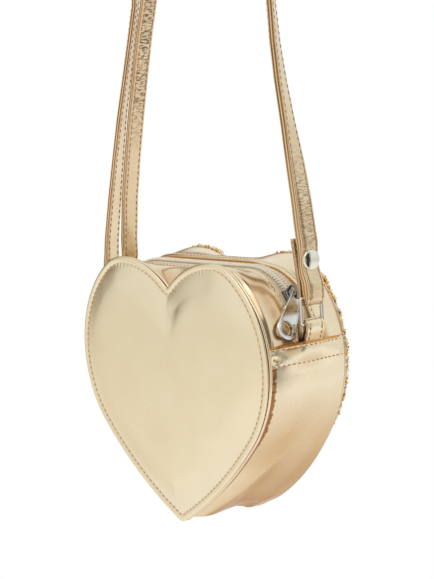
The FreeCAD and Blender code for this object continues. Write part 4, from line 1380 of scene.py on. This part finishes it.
def tab(name, way):
    """A doubled strip from under the hem up round the ring's lower bar."""
    hem_x = tab_foot_x + HEM_PULL
    under, top = HEM_Z - 5.5, HEM_Z + 0.4
    corners = [
        (hem_x - 1.9, under),
        (hem_x - 0.85, top),
        (RING_X + TAB_BEND, RING_LOW - 3.0),
        (RING_X + TAB_BEND, RING_LOW + TAB_BEND),
        (RING_X - TAB_BEND, RING_LOW + TAB_BEND),
        (RING_X - TAB_BEND - 0.3, RING_LOW - 3.0),
        (hem_x - 4.2, top),
        (hem_x - 4.6, under),
    ]
    line = softened(rounded(corners, [6.0, 6.0, TAB_BEND, TAB_BEND, 6.0, 6.0], step=0.6))
    frames = strap_frames(line, 0.0, TAB_HALF)
    centre, wide, face, _ = frames
    centre[:, 1] += 1.5 * fall(line[:, 1], HEM_Z - 1, RING_LOW)
    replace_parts(strap_piece(name, frames, "bag", "gold_leather", mirror=way), f"ring_{name}")
    at = distances(line)
    sewn = (at > 4.5) & (at < 15.5)
    flip = np.array([way, 1, 1])
    rows_found = []
    for across in (-TAB_STITCH, TAB_STITCH):
        run = (centre + wide * across + face * 0.76)[sewn] * flip
        rows_found.append(stitches(run, face[sewn] * flip, 2.4, 1.7, 0.27, sides=5))
    piece(f"{name}_stitches", joined(rows_found), THREAD, "bag", "gold_leather")


tab("tab_right", 1)
tab("tab_left", -1)

# Stones over the front panel: a glittering bed, small chips, and larger stones on a staggered grid
SHEET = 1.6
BED_Y = SEAM_Y + SHEET - 0.3
MAIN_PITCH = 8.0
MAIN_R = 2.9
MAIN_INSET = 12.4
CHIP_INSET = 1.9
CHIP_PITCH = (2.0, 1.78)
LOOSE, TIGHT = 0.35, 0.18
SHARES = [0.42, 0.24, 0.08, 0.26]
bed_edge = [(2.6, SEAM_Y + 0.05), (1.9, SEAM_Y + 0.05), (1.75, SEAM_Y + 0.3)]
bed_edge += [(1.75, BED_Y - 0.25), (2.0, BED_Y)]
bed = weave([lift(outline(-d), y) for d, y in bed_edge] + padded_rings(INSETS[3:], BED_Y, 1))
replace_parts(piece("front_stone_bed", bed, STONE_BED, "bag", "stones"), "front_stone_sheet")


def within(edge, spots):
    """Which spots lie inside a closed outline."""
    x0, z0 = edge.T
    x1, z1 = np.roll(x0, -1), np.roll(z0, -1)
    inside = np.zeros(len(spots), dtype=bool)
    for k, (x, z) in enumerate(spots):
        cross = ((z0 > z) != (z1 > z)) & (x < x0 + (z - z0) * (x1 - x0) / (z1 - z0 + 1e-12))
        inside[k] = cross.sum() % 2 == 1
    return inside


def cut_stone(sides, levels):
    """A cut stone standing on its base: rings of points by radius, height and turn."""
    rings = []
    for r, h, t in levels:
        spin = turns(sides) + t * math.pi / sides
        rings.append(at_level(np.stack([r * np.sin(spin), r * np.cos(spin)], 1), h))
    return weave(rings)


def set_stone(shape, spot, normal, turn, size, tall):
    """A stone standing on a spot along a normal."""
    normal = unit(normal)
    second = unit(np.cross(normal, np.array([math.cos(turn), 0.13, math.sin(turn)])))
    first = np.cross(second, normal)
    verts, faces = shape
    return on_axes(verts, spot, first * size, second * size, normal * tall), faces


row_step = MAIN_PITCH * math.sqrt(3) / 2
main_grid = np.array([
    (c * MAIN_PITCH + MAIN_PITCH / 2 * (k % 2), k * row_step)
    for k in range(int(PEAK_Z / row_step) + 1)
    for c in range(-9, 10)
])
main_grid = main_grid[within(outline(-MAIN_INSET), main_grid)]

# Chips as places, normals and how loosely they are set: three rows round the edge, then the face
chips = []
for out, y, lean_out, count in ((-1.1, 24.3, 1.6, 280), (-0.8, 25.5, 1.0, 290), (-1.5, BED_Y, 0.45, 260)):
    edge, normal = (closed_run(v) for v in heart_ring(out))
    length = distances(edge)[-1]
    at = np.minimum((np.arange(count) + rng.uniform(0, 0.8, count)) * length / count, length * 0.9999)
    for (x, z), (way_x, way_z) in zip(along(edge, at), along(edge, at, normal)):
        slip = rng.uniform(-0.5, 0.4) - 2.6 * smooth(-abs(x), -22, -12) * smooth(z, 90, 108)
        slip -= 0.9 * fall(z, 100, 118)
        place = np.array([x + way_x * slip, y + rng.uniform(-0.3, 0.3), z + way_z * slip])
        chips.append((place, np.array([way_x * lean_out, 1.0, way_z * lean_out]), LOOSE))
spots = np.array([
    (x + CHIP_PITCH[0] / 2 * (k % 2), z)
    for k, z in enumerate(np.arange(3, 124, CHIP_PITCH[1]))
    for x in np.arange(-66, 67, CHIP_PITCH[0])
])
spots = spots + rng.uniform(-0.3, 0.3, spots.shape)
edge = outline(-CHIP_INSET)
for x, z in spots[within(edge, spots)]:
    if np.min(np.hypot(main_grid[:, 0] - x, main_grid[:, 1] - z)) < MAIN_R + 0.55:
        continue
    inset = CHIP_INSET + np.min(np.hypot(edge[:, 0] - x, edge[:, 1] - z))
    y = BED_Y - 0.3 + pad_height(inset, np.array([[x, z]]), 1)[0]
    chips.append((np.array([x, y, z]), ACROSS, TIGHT))

shapes = [
    cut_stone(7, ((0.85, 0.0, 0), (1.0, 0.35, 0), (0.6, 0.85, 1))),
    cut_stone(6, ((0.8, 0.0, 0), (1.02, 0.4, 0), (0.5, 0.9, 1))),
    cut_stone(5, ((0.9, 0.0, 0), (0.95, 0.3, 0), (0.55, 0.95, 1))),
]
groups = {key: [] for key in STONES}
keys = list(STONES)
for place, normal, loose in chips:
    tilt = rng.normal(0, loose, 3)
    size = rng.uniform(0.82, 1.18) if loose == TIGHT else rng.uniform(0.5, 0.85)
    tall = rng.uniform(0.7, 0.9) if loose == TIGHT else rng.uniform(0.8, 1.3)
    shape = shapes[int(rng.integers(3))]
    key = keys[int(rng.choice(4, p=SHARES))]
    groups[key].append(set_stone(shape, place, normal + tilt, rng.uniform(0, 6.28), size, tall))
main_verts, main_faces = cut_stone(6, ((2.75, -0.3, 0), (MAIN_R, 0.05, 0), (1.8, 1.2, 0)))
for k, (x, z) in enumerate(main_grid):
    key = ("amber", "clear", "straw")[(k * 7 + int(z)) % 3]
    groups[key].append((np.array([x, SEAM_Y + 3.8 + SHEET, z]) + main_verts[:, [0, 2, 1]], main_faces))
for key, parts in groups.items():
    piece(f"front_stones_{key}", joined(parts), STONES[key], "bag", "stones", flat=True)

# Hardware that keeps its CAD shape
for material, nodes in (
    (NICKEL, ("ring_right", "ring_left", "adjuster_frame", "adjuster_pin")),
    (NICKEL_PULL, ("zip_stop_right", "zip_stop_left")),
):
    for node in nodes:
        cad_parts[node].data.materials.clear()
        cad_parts[node].data.materials.append(material)

# Floor of pale paper; in reflections only it shows a painted reflection, warm brown round one spot, and glows
# faintly as painted light
scene = bpy.context.scene
scene.view_settings.view_transform = "Standard"
floor_mesh = bpy.data.meshes.new("floor")
bm = bmesh.new()
bmesh.ops.create_circle(bm, cap_ends=True, segments=96, radius=0.8)
bm.to_mesh(floor_mesh)
bm.free()
floor = bpy.data.objects.new("floor", floor_mesh)
floor.location = (0, 0, -0.74)
scene.collection.objects.link(floor)
floor_material, tree, shader = node_tree("floor_paper")
paper = mix(tree, span(tree, noise(tree, 300), 0.3, 0.7), (0.88, 0.87, 0.86), (0.86, 0.85, 0.84))
spot = new(tree, "Mapping", Vector=object_space(tree), Location=(0.3, -0.95, 0.0), Scale=(2.0, 2.9, 1.0))
reach = new(tree, "VectorMath", spot.outputs["Vector"], operation="LENGTH").outputs["Value"]
warm = mix(tree, span(tree, reach, 0.25, 1.35), (0.70, 0.53, 0.375), (0.95, 0.985, 1.08))
glossy_ray = new(tree, "LightPath").outputs["Is Glossy Ray"]
put(
    tree,
    shader,
    Base_Color=mix(tree, glossy_ray, paper, warm),
    Emission_Color=mix(tree, glossy_ray, (0.0, 0.0, 0.0), warm),
    Emission_Strength=0.16,
    Roughness=0.95,
    Specular_IOR_Level=0.0,
)
floor_mesh.materials.append(floor_material)

# World: white to the camera, plain for light, and with soft patches for reflections
world = bpy.data.worlds.new("studio")
scene.world = world
world.use_nodes = True
tree = world.node_tree
coord = new(tree, "TexCoord").outputs["Generated"]
split = new(tree, "SeparateXYZ", coord)
level = split.outputs["Z"]
bearing = maths(tree, "ARCTAN2", split.outputs["Y"], split.outputs["X"])


def toward(direction, low, high):
    """1 where the world is seen in a direction, fading to 0."""
    facing = new(tree, "VectorMath", coord, Vector(direction).normalized(), operation="DOT_PRODUCT")
    return span(tree, facing.outputs["Value"], low, high)


def heading(low, high, soft, floor, ceiling):
    """1 between two bearings in degrees, counted from +X to +Y, and between two levels, with soft sides."""
    low, high = math.radians(low), math.radians(high)
    value = span(tree, bearing, low - soft, low + soft)
    for source, edge, way in ((bearing, high, -1), (level, floor, 1), (level, ceiling, -1)):
        value = maths(tree, "MULTIPLY", value, span(tree, source, edge - way * soft, edge + way * soft))
    return value


tone = (0.85, 0.84, 0.82)
for where, color in (
    (span(tree, level, -0.12, 0.02), (0.94, 0.99, 1.06)),
    (span(tree, level, -0.28, -0.14, 1.0, 0.0), (1.09, 1.10, 1.17)),
    (toward((-0.95, -0.2, -0.25), 0.93, 0.985), (0.88, 0.85, 0.80)),
    (toward((-0.95, -0.2, 0.25), 0.925, 0.985), (0.20, 0.155, 0.11)),
    (toward((-0.95, 0.1, 0.32), 0.89, 0.985), (0.27, 0.18, 0.09)),
    (toward((-0.78, 0.62, 0.06), 0.93, 0.99), (0.40, 0.27, 0.15)),
    (toward((0.28, 0.08, 0.95), 0.965, 0.992), (0.2, 0.115, 0.05)),
    (toward((0.1, -0.55, 0.83), 0.95, 0.99), (1.5, 1.45, 1.4)),
    (heading(-40, 12, 0.12, -0.5, 0.5), (0.74, 0.62, 0.48)),
    (toward((0.92, -0.16, 0.36), 0.925, 0.965), (0.12, 0.085, 0.055)),
    (toward((0.6, -0.18, 0.78), 0.955, 0.985), (0.3, 0.19, 0.09)),
    (toward((-0.1, 0.64, 0.76), 0.965, 0.992), (0.34, 0.23, 0.125)),
    (heading(15, 32, 0.01, -0.42, 0.22), (0.06, 0.05, 0.045)),
):
    tone = mix(tree, where, tone, color)
paths = new(tree, "LightPath").outputs
seen = mix(tree, paths["Is Glossy Ray"], (0.88, 0.88, 0.88), tone)
for ray in ("Is Camera Ray", "Is Transmission Ray"):
    seen = mix(tree, paths[ray], seen, (1.0, 1.0, 1.0))
put(tree, tree.nodes["Background"], Color=seen, Strength=1.0)

# Key light
bag_mid = Vector(row([[0, 0, 65]])[0])
key_way = Vector((0.9, -0.7, 1.5))
key_data = bpy.data.lights.new("key", "AREA")
key_data.shape = "RECTANGLE"
key_data.size, key_data.size_y = 1.2, 1.2
key_data.energy = 4
key_light = bpy.data.objects.new("key", key_data)
key_light.location = bag_mid + key_way
key_light.rotation_euler = (-key_way).to_track_quat("-Z", "Y").to_euler()
scene.collection.objects.link(key_light)

# Camera, from the fit to the heart's outline in the photograph, in degrees, mm and pixels
CAM_AZ, CAM_EL, CAM_ROLL = 50.19, 7.42, -3.68
CAM_AIM = Vector((0, 0, 60))
CAM_AWAY, CAM_ASIDE, CAM_RISE = 1026.5, 1.24, 47.42
FOCAL_PX, PHOTO_PX = 2159.7, 579
SENSOR = 36.0
back = Vector((sin(CAM_AZ) * cos(CAM_EL), -cos(CAM_AZ) * cos(CAM_EL), sin(CAM_EL)))
right = Vector((cos(CAM_AZ), sin(CAM_AZ), 0))
up = back.cross(right)
cam_right = cos(CAM_ROLL) * right + sin(CAM_ROLL) * up
cam_up = -sin(CAM_ROLL) * right + cos(CAM_ROLL) * up
eye = Vector(row([CAM_AIM + back * CAM_AWAY + cam_right * CAM_ASIDE + cam_up * CAM_RISE])[0])
camera_data = bpy.data.cameras.new("camera")
camera_data.sensor_fit = "VERTICAL"
camera_data.sensor_height = SENSOR
camera_data.lens = FOCAL_PX * SENSOR / PHOTO_PX
camera = bpy.data.objects.new("camera", camera_data)
camera.matrix_world = Matrix((*zip(cam_right, cam_up, back, eye), (0, 0, 0, 1)))
scene.collection.objects.link(camera)
scene.camera = camera
